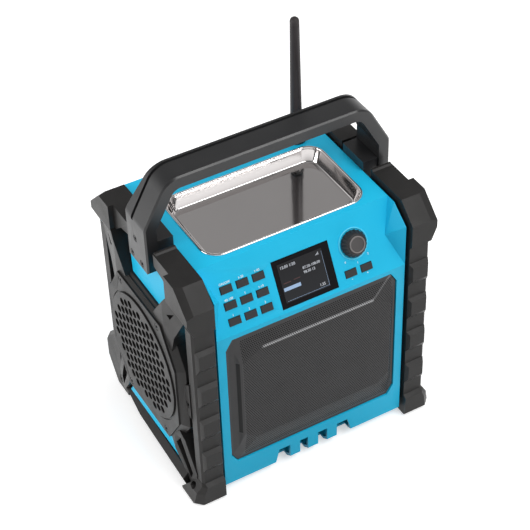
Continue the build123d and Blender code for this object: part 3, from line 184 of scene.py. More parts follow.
def rangeNode(tree, value, low, high, toLow, toHigh):
    # a smooth step from toLow at low to toHigh at high
    node = tree.nodes.new("ShaderNodeMapRange")
    node.interpolation_type = "SMOOTHSTEP"
    tree.links.new(value, node.inputs["Value"])
    limits = (("From Min", low), ("From Max", high), ("To Min", toLow), ("To Max", toHigh))
    for socketName, number in limits:
        if hasattr(number, "links"):
            tree.links.new(number, node.inputs[socketName])
        else:
            node.inputs[socketName].default_value = number
    return node.outputs["Result"]


def noiseNode(tree, vector, scale, detail=2.0, rough=0.5):
    node = tree.nodes.new("ShaderNodeTexNoise")
    tree.links.new(vector, node.inputs["Vector"])
    if hasattr(scale, "links"):
        tree.links.new(scale, node.inputs["Scale"])
    else:
        node.inputs["Scale"].default_value = scale
    node.inputs["Detail"].default_value = detail
    node.inputs["Roughness"].default_value = rough
    return node.outputs["Fac"]


# three node groups that the materials share
# moulded grain: a fine pebble height, and a slow patchiness for colour and roughness
grainGroup, gIn, gOut = newGroup(
    "mouldGrain",
    [
        ("Vector", "NodeSocketVector", None),
        ("Grain Size", "NodeSocketFloat", 0.6),
        ("Patch Size", "NodeSocketFloat", 30.0),
    ],
    [("Height", "NodeSocketFloat"), ("Patch", "NodeSocketFloat")],
)
grainScale = mathNode(grainGroup, "DIVIDE", 1000.0, gIn.outputs["Grain Size"])
patchScale = mathNode(grainGroup, "DIVIDE", 1000.0, gIn.outputs["Patch Size"])
pebbles = noiseNode(grainGroup, gIn.outputs["Vector"], grainScale, 3.0, 0.6)
patches = noiseNode(grainGroup, gIn.outputs["Vector"], patchScale, 4.0, 0.6)
grainGroup.links.new(pebbles, gOut.inputs["Height"])
grainGroup.links.new(patches, gOut.inputs["Patch"])

# scuffs: thin stretched scratches that show only in some patches
scuffGroup, gIn, gOut = newGroup(
    "lightScuffs",
    [
        ("Vector", "NodeSocketVector", None),
        ("Amount", "NodeSocketFloat", 0.3),
        ("Length", "NodeSocketFloat", 12.0),
    ],
    [("Mask", "NodeSocketFloat")],
)
scuffScale = mathNode(scuffGroup, "DIVIDE", 1000.0, gIn.outputs["Length"])
stretch = vectorNode(scuffGroup, "MULTIPLY", gIn.outputs["Vector"], (1.0, 9.0, 5.0))
lines = noiseNode(scuffGroup, stretch, scuffScale, 6.0, 0.7)
where = noiseNode(scuffGroup, gIn.outputs["Vector"], 22.0, 2.0, 0.5)
lineMask = rangeNode(scuffGroup, lines, 0.62, 0.72, 0.0, 1.0)
whereMask = rangeNode(scuffGroup, where, 0.52, 0.66, 0.0, 1.0)
mask = mathNode(scuffGroup, "MULTIPLY", lineMask, whereMask)
mask = mathNode(scuffGroup, "MULTIPLY", mask, gIn.outputs["Amount"], clamp=True)
scuffGroup.links.new(mask, gOut.inputs["Mask"])

# staggered round holes in the plane of the vector's x and y, sizes in millimetres: the distance to
# the nearest middle of two rectangular nets, one shifted by half a cell
holeGroup, gIn, gOut = newGroup(
    "punchedHoles",
    [
        ("Vector", "NodeSocketVector", None),
        ("Pitch", "NodeSocketFloat", 3.0),
        ("Radius", "NodeSocketFloat", 0.9),
    ],
    [("Mask", "NodeSocketFloat")],
)
inMm = vectorNode(holeGroup, "SCALE", gIn.outputs["Vector"], scale=1000.0)
perPitch = mathNode(holeGroup, "DIVIDE", 1.0, gIn.outputs["Pitch"])
inCells = vectorNode(holeGroup, "SCALE", inMm, scale=perPitch)
cells = vectorNode(holeGroup, "MULTIPLY", inCells, (1.0, 1.0 / math.sqrt(3.0), 0.0))
distances = []
for offset in (0.0, 0.5):
    moved = vectorNode(holeGroup, "ADD", cells, (offset + 100.0, offset + 100.0, 0.0))
    part = vectorNode(holeGroup, "FRACTION", moved)
    centred = vectorNode(holeGroup, "SUBTRACT", part, (0.5, 0.5, 0.0))
    flat = vectorNode(holeGroup, "MULTIPLY", centred, (1.0, math.sqrt(3.0), 0.0))
    distances.append(vectorNode(holeGroup, "LENGTH", flat))
nearest = mathNode(holeGroup, "MINIMUM", distances[0], distances[1])
nearestMm = mathNode(holeGroup, "MULTIPLY", nearest, gIn.outputs["Pitch"])
holeBlur = 0.12
inner = mathNode(holeGroup, "SUBTRACT", gIn.outputs["Radius"], holeBlur)
outer = mathNode(holeGroup, "ADD", gIn.outputs["Radius"], holeBlur)
holeGroup.links.new(rangeNode(holeGroup, nearestMm, inner, outer, 1.0, 0.0), gOut.inputs["Mask"])


def useGroup(material, group, vector, **values):
    tree = material.node_tree
    node = tree.nodes.new("ShaderNodeGroup")
    node.node_tree = group
    tree.links.new(vector, node.inputs["Vector"])
    for socketName, value in values.items():
        node.inputs[socketName.replace("_", " ")].default_value = value
    return node


def newMaterial(name):
    material = bpy.data.materials.new(name)
    material.use_nodes = True
    tree = material.node_tree
    shader = tree.nodes["Principled BSDF"]
    place = tree.nodes.new("ShaderNodeTexCoord")
    return material, tree, shader, place.outputs["Object"]


def mixColor(tree, factor, a, b):
    node = tree.nodes.new("ShaderNodeMix")
    node.data_type = "RGBA"
    for socket, value in ((node.inputs[0], factor), (node.inputs[6], a), (node.inputs[7], b)):
        if hasattr(value, "links"):
            tree.links.new(value, socket)
        else:
            socket.default_value = value if isinstance(value, float) else (*value[:3], 1.0)
    return node.outputs[2]


def addBump(tree, shader, height, strength, distance):
    bump = tree.nodes.new("ShaderNodeBump")
    bump.inputs["Strength"].default_value = strength
    bump.inputs["Distance"].default_value = distance * mm
    tree.links.new(height, bump.inputs["Height"])
    tree.links.new(bump.outputs["Normal"], shader.inputs["Normal"])


def mouldedPlastic(name, look):
    # base colour with slow patches, fine grain in the normal, pale scuffs
    material, tree, shader, place = newMaterial(name)
    grain = useGroup(material, grainGroup, place, Grain_Size=look["grain"], Patch_Size=look["patch"])
    scuff = useGroup(material, scuffGroup, place, Amount=look["scuff"], Length=look["scuffLength"])
    colour = mixColor(tree, grain.outputs["Patch"], look["dark"], look["light"])
    colour = mixColor(tree, scuff.outputs["Mask"], colour, look["worn"])
    tree.links.new(colour, shader.inputs["Base Color"])
    rough = rangeNode(tree, grain.outputs["Patch"], 0.3, 0.7, look["roughLow"], look["roughHigh"])
    tree.links.new(rough, shader.inputs["Roughness"])
    shader.inputs["Specular IOR Level"].default_value = look["specular"]
    addBump(tree, shader, grain.outputs["Height"], look["bump"], look["bumpDepth"])
    return material


# grain, patch and scuff lengths and bump depths in millimetres
plasticLooks = {
    "blueShell": {
        "dark": (0.010, 0.470, 0.750), "light": (0.014, 0.530, 0.820), "worn": (0.10, 0.50, 0.72),
        "grain": 0.7, "patch": 45.0, "scuff": 0.12, "scuffLength": 14.0,
        "roughLow": 0.36, "roughHigh": 0.46, "specular": 0.25, "bump": 0.10, "bumpDepth": 0.25,
    },
    "guardBlack": {
        "dark": (0.018, 0.017, 0.017), "light": (0.027, 0.026, 0.025), "worn": (0.075, 0.072, 0.070),
        "grain": 0.55, "patch": 28.0, "scuff": 0.30, "scuffLength": 10.0,
        "roughLow": 0.32, "roughHigh": 0.42, "specular": 0.18, "bump": 0.22, "bumpDepth": 0.3,
    },
    "handleBlack": {
        "dark": (0.014, 0.014, 0.015), "light": (0.020, 0.020, 0.021), "worn": (0.06, 0.058, 0.056),
        "grain": 0.5, "patch": 35.0, "scuff": 0.25, "scuffLength": 18.0,
        "roughLow": 0.28, "roughHigh": 0.36, "specular": 0.5, "bump": 0.12, "bumpDepth": 0.25,
    },
    "keyRubber": {
        "dark": (0.016, 0.016, 0.018), "light": (0.024, 0.024, 0.026), "worn": (0.05, 0.05, 0.05),
        "grain": 0.35, "patch": 9.0, "scuff": 0.15, "scuffLength": 4.0,
        "roughLow": 0.52, "roughHigh": 0.62, "specular": 0.4, "bump": 0.2, "bumpDepth": 0.12,
    },
    "footRubber": {
        "dark": (0.012, 0.012, 0.012), "light": (0.020, 0.019, 0.018), "worn": (0.06, 0.055, 0.05),
        "grain": 0.9, "patch": 15.0, "scuff": 0.4, "scuffLength": 6.0,
        "roughLow": 0.70, "roughHigh": 0.85, "specular": 0.3, "bump": 0.3, "bumpDepth": 0.3,
    },
    "rodRubber": {
        "dark": (0.026, 0.022, 0.023), "light": (0.036, 0.031, 0.032), "worn": (0.08, 0.07, 0.07),
        "grain": 0.6, "patch": 20.0, "scuff": 0.2, "scuffLength": 8.0,
        "roughLow": 0.42, "roughHigh": 0.52, "specular": 0.3, "bump": 0.1, "bumpDepth": 0.15,
    },
    "coneBlack": {
        "dark": (0.006, 0.006, 0.007), "light": (0.012, 0.012, 0.012), "worn": (0.03, 0.03, 0.03),
        "grain": 0.8, "patch": 12.0, "scuff": 0.0, "scuffLength": 6.0,
        "roughLow": 0.7, "roughHigh": 0.85, "specular": 0.3, "bump": 0.3, "bumpDepth": 0.3,
    },
    "boardGreen": {
        "dark": (0.010, 0.070, 0.030), "light": (0.016, 0.110, 0.045), "worn": (0.30, 0.22, 0.08),
        "grain": 0.4, "patch": 6.0, "scuff": 0.6, "scuffLength": 8.0,
        "roughLow": 0.35, "roughHigh": 0.45, "specular": 0.5, "bump": 0.1, "bumpDepth": 0.2,
    },
    "dishGrey": {
        "dark": (0.050, 0.046, 0.046), "light": (0.065, 0.060, 0.060), "worn": (0.10, 0.10, 0.10),
        "grain": 0.35, "patch": 6.0, "scuff": 0.1, "scuffLength": 4.0,
        "roughLow": 0.40, "roughHigh": 0.50, "specular": 0.5, "bump": 0.08, "bumpDepth": 0.1,
    },
    "capGrey": {
        "dark": (0.170, 0.155, 0.150), "light": (0.210, 0.190, 0.185), "worn": (0.30, 0.28, 0.27),
        "grain": 0.35, "patch": 6.0, "scuff": 0.1, "scuffLength": 4.0,
        "roughLow": 0.34, "roughHigh": 0.42, "specular": 0.5, "bump": 0.08, "bumpDepth": 0.1,
    },
    "ringBlue": {
        "dark": (0.060, 0.600, 0.860), "light": (0.080, 0.640, 0.880), "worn": (0.2, 0.55, 0.75),
        "grain": 0.5, "patch": 12.0, "scuff": 0.1, "scuffLength": 5.0,
        "roughLow": 0.28, "roughHigh": 0.36, "specular": 0.5, "bump": 0.05, "bumpDepth": 0.15,
    },
}
plastics = {name: mouldedPlastic(name, look) for name, look in plasticLooks.items()}


def metalMaterial(name, look):
    # metal with stretched brush lines in roughness and normal, darker in slow patches
    material, tree, shader, place = newMaterial(name)
    grain = useGroup(material, grainGroup, place, Grain_Size=look["grain"], Patch_Size=look["patch"])
    stretched = vectorNode(tree, "MULTIPLY", place, look["stretch"])
    brush = noiseNode(tree, stretched, look["brushScale"], 4.0, 0.6)
    colour = mixColor(tree, grain.outputs["Patch"], look["dark"], look["light"])
    tree.links.new(colour, shader.inputs["Base Color"])
    shader.inputs["Metallic"].default_value = 1.0
    rough = rangeNode(tree, brush, 0.3, 0.7, look["roughLow"], look["roughHigh"])
    tree.links.new(rough, shader.inputs["Roughness"])
    # slow waves under the brush lines bend what the metal mirrors
    waves = mathNode(tree, "MULTIPLY", grain.outputs["Patch"], look["waves"])
    addBump(tree, shader, mathNode(tree, "ADD", brush, waves), look["bump"], look["bumpDepth"])
    return material


metalLooks = {
    "traySteel": {
        "dark": (0.79, 0.755, 0.745), "light": (0.86, 0.825, 0.815),
        "grain": 1.0, "patch": 60.0, "stretch": (1.0, 26.0, 26.0), "brushScale": 40.0,
        "roughLow": 0.06, "roughHigh": 0.11, "bump": 0.03, "bumpDepth": 0.03, "waves": 40.0,
    },
    "turnedSteel": {
        "dark": (0.46, 0.45, 0.44), "light": (0.58, 0.57, 0.56),
        "grain": 0.6, "patch": 8.0, "stretch": (1.0, 1.0, 20.0), "brushScale": 120.0,
        "roughLow": 0.22, "roughHigh": 0.34, "bump": 0.08, "bumpDepth": 0.05, "waves": 0.0,
    },
    "screwBlack": {
        "dark": (0.012, 0.012, 0.012), "light": (0.020, 0.019, 0.019),
        "grain": 0.5, "patch": 5.0, "stretch": (1.0, 1.0, 6.0), "brushScale": 200.0,
        "roughLow": 0.32, "roughHigh": 0.44, "bump": 0.1, "bumpDepth": 0.05, "waves": 0.0,
    },
}
metals = {name: metalMaterial(name, look) for name, look in metalLooks.items()}


# millimetres, but for the colours, the hip's slope and its share of the bend's painted highlight
sheetLook = {
    # the hole colour is also the painted shade on the riser
    "pitch": 2.1, "radius": 0.62, "sheet": (0.042, 0.041, 0.042), "hole": (0.0015, 0.0015, 0.0015),
    "leftX": -79.0, "rightX": 88.5, "lowZ": 43.0, "highZ": 197.5, "blur": 0.3,
    "bend": (0.46, 0.46, 0.47), "bendZ": 183.0, "bendHalf": 2.3, "bendFrom": -57.0, "bendTo": 64.0,
    "bendCore": 0.3, "bendEnd": 2.0, "hipSlope": 0.72, "hipHighlightShare": 0.3, "hipFade": (0.2, 1.2),
    "riserX": (-84.8, -82.0), "riserZ": (78.0, 172.0),
}


def stepNode(tree, value, spot, blur, toLow=0.0, toHigh=1.0):
    # a smooth step at a spot, both in millimetres
    return rangeNode(tree, value, (spot - blur) * mm, (spot + blur) * mm, toLow, toHigh)


def grilleMaterial(look):
    # satin black sheet, punched inside its border; a painted highlight runs along the bend above the flat,
    # and painted shade lies on the riser of the step at the left
    material, tree, shader, place = newMaterial("grilleSheet")
    apart = tree.nodes.new("ShaderNodeSeparateXYZ")
    joined = tree.nodes.new("ShaderNodeCombineXYZ")
    tree.links.new(place, apart.inputs[0])
    tree.links.new(apart.outputs["X"], joined.inputs["X"])
    tree.links.new(apart.outputs["Z"], joined.inputs["Y"])
    holes = useGroup(material, holeGroup, joined.outputs[0], Pitch=look["pitch"], Radius=look["radius"])
    inside = None
    for axis, edge, sign in (("X", "leftX", 1), ("X", "rightX", -1), ("Z", "lowZ", 1), ("Z", "highZ", -1)):
        step = stepNode(tree, apart.outputs[axis], look[edge], look["blur"], (1 - sign) / 2, (1 + sign) / 2)
        inside = step if inside is None else mathNode(tree, "MULTIPLY", inside, step)
    punched = mathNode(tree, "MULTIPLY", holes.outputs["Mask"], inside)
    grain = useGroup(material, grainGroup, place, Grain_Size=0.5, Patch_Size=30.0)
    sheet = mixColor(tree, grain.outputs["Patch"], look["sheet"], tuple(1.5 * c for c in look["sheet"]))
    # the painted highlight on the bend is a level line that climbs at the right, along the hip to the
    # border's corner
    climb = mathNode(tree, "SUBTRACT", apart.outputs["X"], look["bendTo"] * mm)
    climb = mathNode(tree, "MAXIMUM", climb, 0.0)
    climb = mathNode(tree, "MULTIPLY", climb, look["hipSlope"])
    away = mathNode(tree, "SUBTRACT", apart.outputs["Z"], look["bendZ"] * mm)
    away = mathNode(tree, "ABSOLUTE", mathNode(tree, "SUBTRACT", away, climb))
    bendHighlightMask = rangeNode(tree, away, look["bendCore"] * mm, look["bendHalf"] * mm, 1.0, 0.0)
    ends = stepNode(tree, apart.outputs["X"], look["bendFrom"], look["bendEnd"])
    bendHighlightMask = mathNode(tree, "MULTIPLY", bendHighlightMask, ends)
    fade = rangeNode(tree, climb, look["hipFade"][0] * mm, look["hipFade"][1] * mm, 1.0, look["hipHighlightShare"])
    bendHighlightMask = mathNode(tree, "MULTIPLY", bendHighlightMask, fade)
    # the bend's painted highlight goes into the base colour
    sheet = mixColor(tree, bendHighlightMask, sheet, look["bend"])
    # painted shade on the riser of the step at the left, in the dark hole colour
    riserShadeMask = None
    for axis, (low, high) in (("X", look["riserX"]), ("Z", look["riserZ"])):
        for spot, toLow, toHigh in ((low, 0.0, 1.0), (high, 1.0, 0.0)):
            step = stepNode(tree, apart.outputs[axis], spot, look["blur"], toLow, toHigh)
            riserShadeMask = step if riserShadeMask is None else mathNode(tree, "MULTIPLY", riserShadeMask, step)
    sheet = mixColor(tree, riserShadeMask, sheet, look["hole"])
    tree.links.new(mixColor(tree, punched, sheet, look["hole"]), shader.inputs["Base Color"])
    tree.links.new(rangeNode(tree, punched, 0.0, 1.0, 0.36, 0.95), shader.inputs["Roughness"])
    shader.inputs["Specular IOR Level"].default_value = 0.2
    height = mathNode(tree, "SUBTRACT", 1.0, punched)
    addBump(tree, shader, height, 0.4, 0.3)
    return material


sheetBlack = grilleMaterial(sheetLook)


def glassMaterial(name, color, rough):
    # black window with faint smears in its gloss
    material, tree, shader, place = newMaterial(name)
    grain = useGroup(material, grainGroup, place, Grain_Size=3.0, Patch_Size=12.0)
    colour = mixColor(tree, grain.outputs["Patch"], color, tuple(1.3 * c for c in color))
    tree.links.new(colour, shader.inputs["Base Color"])
    smeared = rangeNode(tree, grain.outputs["Patch"], 0.3, 0.7, rough, rough + 0.06)
    tree.links.new(smeared, shader.inputs["Roughness"])
    shader.inputs["Specular IOR Level"].default_value = 0.10
    return material


lensBlack = glassMaterial("lensBlack", (0.004, 0.004, 0.005), 0.10)


# the lit area's lower and upper height in millimetres, and each colour at either height with its strength
litLook = {
    "lowZ": 216.0, "highZ": 250.0,
    "screenDark": ((0.016, 0.017, 0.020), (0.012, 0.012, 0.014), 0.6),
    "screenWhite": ((0.45, 0.47, 0.50), (0.40, 0.42, 0.46), 0.9),
    "screenBlue": ((0.30, 0.42, 0.60), (0.24, 0.34, 0.50), 0.8),
    "screenFaint": ((0.10, 0.045, 0.045), (0.08, 0.04, 0.04), 0.6),
}


def litMaterial(name):
    # a lit colour that runs from low to high up the panel
    low, high, strength = litLook[name]
    material, tree, shader, place = newMaterial(name)
    apart = tree.nodes.new("ShaderNodeSeparateXYZ")
    tree.links.new(place, apart.inputs[0])
    up = rangeNode(tree, apart.outputs["Z"], litLook["lowZ"] * mm, litLook["highZ"] * mm, 0.0, 1.0)
    colour = mixColor(tree, up, low, high)
    tree.links.new(mixColor(tree, 0.6, colour, (0.01, 0.01, 0.01)), shader.inputs["Base Color"])
    tree.links.new(colour, shader.inputs["Emission Color"])
    shader.inputs["Emission Strength"].default_value = strength
    shader.inputs["Roughness"].default_value = 0.3
    shader.inputs["Specular IOR Level"].default_value = 0.15
    return material


screenDark = litMaterial("screenDark")
screenWhite = litMaterial("screenWhite")
screenBlue = litMaterial("screenBlue")
screenFaint = litMaterial("screenFaint")


def inkMaterial():
    # printed white ink, a little worn
    material, tree, shader, place = newMaterial("printedInk")
    grain = useGroup(material, grainGroup, place, Grain_Size=0.5, Patch_Size=3.0)
    colour = mixColor(tree, grain.outputs["Height"], (0.70, 0.80, 0.84), (0.88, 0.90, 0.91))
    tree.links.new(colour, shader.inputs["Base Color"])
    shader.inputs["Roughness"].default_value = 0.5
    return material


ink = inkMaterial()
print("materials made")

# every node gets its finish, also those that a finer piece replaces
nodeFinish = {}
for finish, nodeNames in (
    (plastics["coneBlack"], ("front_driver", "side_driver_left", "side_driver_right")),
    (plastics["footRubber"], ("foot_pads", "inlet_flap")),
    (lensBlack, ("display_lens",)),
    (screenDark, ("display_module",)),
    (plastics["boardGreen"], ("display_board", "menu_board", "preset_board", "main_board")),
    (metals["turnedSteel"], (
        "knob_shaft", "knob_encoder", "antenna_pin", "door_hinge_pins", "power_inlet", "charge_socket",
    )),
    (plastics["ringBlue"], ("knob_ring",)),
    (plastics["handleBlack"], ("antenna_socket", "handle", "handle_brackets")),
    (plastics["rodRubber"], ("antenna_ferrule", "antenna_sheath")),
    (plastics["guardBlack"], (
        "door_latch", "battery_terminal", "knob_cap", "guard_left", "guard_right", "side_plate_left",
        "side_plate_right", "battery_door",
    )),
    (metals["screwBlack"], (
        "plate_screws", "guard_screws", "handle_screws", "shell_screws", "latch_screw",
    )),
    (sheetBlack, ("front_grille",)),
    (metals["traySteel"], ("tool_tray",)),
    (plastics["keyRubber"], ("tuning_knob",)),
    (plastics["blueShell"], ("housing_front", "housing_rear")),
):
    nodeFinish.update({nodeName: finish for nodeName in nodeNames})
for nodeName, node in nodes.items():
    finish = nodeFinish.get(nodeName, plastics["keyRubber"])
    if not node.material_slots:
        node.data.materials.append(finish)
    for slot in node.material_slots:
        slot.material = finish
print("CAD finishes set")

# width in millimetres of the small rounded edges
softEdges = {
    "housing_front": ("blueShell", 0.9), "housing_rear": ("blueShell", 0.9),
    "guard_left": ("guardBlack", 0.7), "guard_right": ("guardBlack", 0.7),
    "handle": ("handleBlack", 1.4), "handle_brackets": ("handleBlack", 0.5),
    "side_plate_left": ("guardBlack", 0.25), "side_plate_right": ("guardBlack", 0.25),
    "battery_door": ("guardBlack", 0.6), "door_latch": ("guardBlack", 0.4), "inlet_flap": ("footRubber", 0.4),
}
for keyName, count in (("menu_button", 9), ("preset_button", 2)):
    for number in range(1, count + 1):
        softEdges["%s_%d" % (keyName, number)] = ("keyRubber", 0.35)
for nodeName, (lookName, width) in softEdges.items():
    softened(nodeName, plastics[lookName], bodyOf(nodeName), width)
print("softened copies made")


def stackRings(rings):
    # closed skin through equal rings, with an n-sided face at either end
    count, around = len(rings), len(rings[0])
    faces = gridFaces(count, around, wrapCols=True)
    faces.append(list(range(around))[::-1])
    faces.append(list(range((count - 1) * around, count * around)))
    return np.concatenate(rings), faces


# front grille: border, a low shelf with a step at the left, sloped sides, flat middle. Each stage is
# a blend from border to middle: (share of the way in, x of its left side, share of the way out)
grilleLook = {
    "outer": {"x": (-93.7, 93.7), "z": (37.3, 202.7), "cutX": (6.9, 6.9), "cutZ": (11.4, 11.4)},
    "border": {"x": (-91.0, 91.0), "z": (40.0, 200.0), "cutX": (6.2, 6.2), "cutZ": (10.4, 10.4)},
    "flat": {"x": (-80.0, 85.0), "z": (66.0, 183.0), "cutX": (13.0, 21.0), "cutZ": (10.0, 13.0)},
    "backY": -87.5, "borderY": -92.0, "frontY": -98.0, "rimStep": 0.5, "rimBlend": 0.015,
    "stages": ((0.30, -85.6, 0.26), (0.42, -84.4, 0.40), (0.80, -82.2, 0.83)),
    "edgeWidth": 0.6, "edgeSegments": 3, "edgeFrom": 8.0,
}


def cutCorners(look):
    # eight-sided ring at y 0, anticlockwise from its low left corner, seen from the front
    (lowX, highX), (lowZ, highZ) = look["x"], look["z"]
    (lowCut, highCut), (cutLowZ, cutHighZ) = look["cutX"], look["cutZ"]
    points = [
        (lowX + lowCut, lowZ), (highX - lowCut, lowZ), (highX, lowZ + cutLowZ), (highX, highZ - cutHighZ),
        (highX - highCut, highZ), (lowX + highCut, highZ), (lowX, highZ - cutHighZ), (lowX, lowZ + cutLowZ),
    ]
    return np.array([(x, 0.0, z) for x, z in points])


def grilleRing(base, y):
    return toFrame(base + [0.0, y, 0.0])


grilleOuter = cutCorners(grilleLook["outer"])
grilleBorder = cutCorners(grilleLook["border"])
grilleFlat = cutCorners(grilleLook["flat"])
rimBlend = grilleLook["rimBlend"]
grilleRings = [
    grilleRing(grilleOuter, grilleLook["backY"]),
    grilleRing(grilleOuter, grilleLook["borderY"] + grilleLook["rimStep"]),
    grilleRing(grilleOuter * (1 - rimBlend) + grilleBorder * rimBlend, grilleLook["borderY"]),
    grilleRing(grilleBorder, grilleLook["borderY"]),
]
for wayIn, leftX, wayOut in grilleLook["stages"]:
    ring = grilleBorder * (1 - wayIn) + grilleFlat * wayIn
    ring[6:, 0] = leftX
    stageY = grilleLook["borderY"] + wayOut * (grilleLook["frontY"] - grilleLook["borderY"])
    grilleRings.append(grilleRing(ring, stageY))
grilleRings.append(grilleRing(grilleFlat, grilleLook["frontY"]))
verts, faces = stackRings(grilleRings)
grille = newPiece("grilleSkin", verts, faces, sheetBlack, "housing", True)
edge = grille.modifiers.new("edge", "BEVEL")
edge.width = grilleLook["edgeWidth"] * mm
edge.segments = grilleLook["edgeSegments"]
edge.limit_method = "ANGLE"
edge.angle_limit = math.radians(grilleLook["edgeFrom"])
edge.harden_normals = True
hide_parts("front_grille")
print("grille made")


def roundedLoop(halfX, lowY, highY, radius, z, perCorner=14):
    # corner's middle + radius * (cos a, sin a), four quarter turns in order
    turn = np.linspace(0.0, math.pi / 2, perCorner)
    loops = []
    for index, (cx, cy) in enumerate(
        ((halfX - radius, highY - radius), (-halfX + radius, highY - radius),
         (-halfX + radius, lowY + radius), (halfX - radius, lowY + radius))
    ):
        angle = turn + index * math.pi / 2
        x, y = cx + radius * np.cos(angle), cy + radius * np.sin(angle)
        loops.append(np.stack([x, y, np.full(perCorner, z)], 1))
    return np.concatenate(loops)


# tool tray: rolled rim, leaning walls, rounded foot, flat floor, plain underside. Its profile is a list
# of (inset from the rim's outside, height), and each point of it gives one rounded rectangle
trayLook = {
    "halfX": 87.0, "lowY": -55.0, "highY": 46.5, "corner": 19.0, "leastCorner": 3.0,
    "rimZ": 270.6, "floorZ": 258.6, "underZ": 257.6, "underInset": 8.1, "neckInset": 2.9, "neckDrop": 0.1,
    "bead": 1.3, "beadLift": 0.3, "beadSteps": 9, "lipLift": 0.02,
    "wallFoot": 9.1, "foot": 1.8, "footSteps": 9,
}
bead = trayLook["bead"]
beadZ = trayLook["rimZ"] + trayLook["beadLift"]
roll = np.linspace(math.pi, 0.0, trayLook["beadSteps"])
rimCurve = np.stack([bead + bead * np.cos(roll), beadZ + bead * np.sin(roll)], 1)
wall = np.array([trayLook["wallFoot"] - 2 * bead, trayLook["floorZ"] - beadZ])
wallDown = wall / np.linalg.norm(wall)
# the foot is a quadratic curve from the wall to the floor
footFrom = np.array([trayLook["wallFoot"], trayLook["floorZ"]]) - wallDown * trayLook["foot"]
footMid = np.array([trayLook["wallFoot"], trayLook["floorZ"]])
footTo = footMid + [trayLook["foot"], 0.0]
t = np.linspace(0.0, 1.0, trayLook["footSteps"])[:, None]
footCurve = (1 - t) ** 2 * footFrom + 2 * t * (1 - t) * footMid + t ** 2 * footTo
underCurve = [
    [trayLook["underInset"], trayLook["underZ"]],
    [trayLook["neckInset"], trayLook["rimZ"] - trayLook["neckDrop"]],
    [0.0, trayLook["rimZ"] + trayLook["lipLift"]],
]
trayRings = []
for inset, z in np.concatenate([underCurve, rimCurve, footCurve]):
    corner = max(trayLook["corner"] - inset, trayLook["leastCorner"])
    loop = roundedLoop(
        trayLook["halfX"] - inset, trayLook["lowY"] + inset, trayLook["highY"] - inset, corner, z
    )
    trayRings.append(toFrame(loop))
verts, faces = stackRings(trayRings)
tray = newPiece("trayBowl", verts, faces, metals["traySteel"], "housing", True)
# the floor and the underside, the two many-sided faces, stay flat
smoothFaces = np.array([len(face.vertices) < 5 for face in tray.data.polygons])
tray.data.polygons.foreach_set("use_smooth", smoothFaces)
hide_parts("tool_tray")
print("tray made")

# knob: ribs round its skirt that fade towards the crown, a ringed dish on top. A profile is a list of
# (radius, height above the panel); ribFade says how deep the ribs are at each point of the body's
knobLook = {
    "x": 55.0, "s": 39.4, "ribs": 20, "perRib": 14, "ribDepth": 1.3, "ribPower": 0.6,
    "body": [
        (3.1, 0.7), (12.9, 0.6), (13.4, 1.0), (13.5, 1.8), (13.2, 3.2), (12.4, 5.0), (11.3, 6.8), (10.4, 7.9),
        (9.6, 8.5), (8.8, 8.6), (3.1, 8.6),
    ],
    "ribFade": [0.0, 0.0, 0.9, 1.0, 1.0, 0.9, 0.65, 0.25, 0.0, 0.0, 0.0],
    "dish": [(7.0, 8.6), (7.0, 9.15), (6.4, 9.0), (4.5, 8.85), (2.0, 8.75), (0.4, 8.72)],
    "crown": [(7.0, 8.6), (8.3, 8.6), (8.3, 9.4), (8.1, 9.7), (7.7, 9.8), (7.3, 9.75), (7.0, 9.5)],
    "ring": [(14.2, 0.02), (15.7, 0.02), (15.7, 0.6), (15.4, 0.95), (14.8, 1.0), (14.4, 0.9), (14.2, 0.6)],
}
around = np.linspace(0.0, 2 * math.pi, knobLook["ribs"] * knobLook["perRib"], endpoint=False)


def knobLoops(profile, groove=0.0, fade=None):
    # one loop round the knob's axis for each point: radius = profile's radius - fade * groove
    fade = np.zeros(len(profile)) if fade is None else fade
    loops = []
    for (radius, height), share in zip(profile, fade):
        reach = radius - share * groove
        x, s = knobLook["x"] + reach * np.cos(around), knobLook["s"] + reach * np.sin(around)
        loops.append(toFrame(onPanel(x, s, height)))
    return loops


def knobHoop(name, profile, material, body):
    # a closed profile carried all the way round
    verts = np.concatenate(knobLoops(profile))
    faces = gridFaces(len(profile), len(around), wrapRows=True, wrapCols=True)
    return newPiece(name, verts, faces, material, body, True)


# groove = depth * (1 - |cos(half the rib's angle)| ^ power)
ribCrest = np.abs(np.cos(around * knobLook["ribs"] / 2)) ** knobLook["ribPower"]
ribGroove = knobLook["ribDepth"] * (1.0 - ribCrest)
verts, faces = stackRings(knobLoops(knobLook["body"], ribGroove, knobLook["ribFade"]))
knob = newPiece("knobBody", verts, faces, plastics["keyRubber"], "knob", True)
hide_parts("tuning_knob")
verts, faces = stackRings(knobLoops(knobLook["dish"]))
knobDish = newPiece("knobDish", verts, faces, plastics["dishGrey"], "knob", True)
knobHoop("knobCrown", knobLook["crown"], plastics["capGrey"], "knob")
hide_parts("knob_cap")
knobRing = knobHoop("knobRing", knobLook["ring"], plastics["ringBlue"], bodyOf("knob_ring"))
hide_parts("knob_ring")
print("knob made")


def panelBoxes(boxes, low, high):
    # each box is (x from, x to, s from, s to) on the panel, between two heights
    square = [(0, 0), (1, 0), (1, 1), (0, 1)]
    corners = np.array([(x, s, 0) for x, s in square] + [(x, s, 1) for x, s in square])
    quads = np.array([(0, 3, 2, 1), (4, 5, 6, 7), (0, 1, 5, 4), (1, 2, 6, 5), (2, 3, 7, 6), (3, 0, 4, 7)])
    boxes = np.asarray(boxes, float)
    x = boxes[:, [0, 1]][:, corners[:, 0]]
    s = boxes[:, [2, 3]][:, corners[:, 1]]
    h = np.broadcast_to(np.array([low, high])[corners[:, 2]], x.shape)
    faces = (quads[None] + 8 * np.arange(len(boxes))[:, None, None]).reshape(-1, 4)
    return toFrame(onPanel(x, s, h)), faces.tolist()


capShare = 0.7  # height of a capital letter in the font, as a share of its size


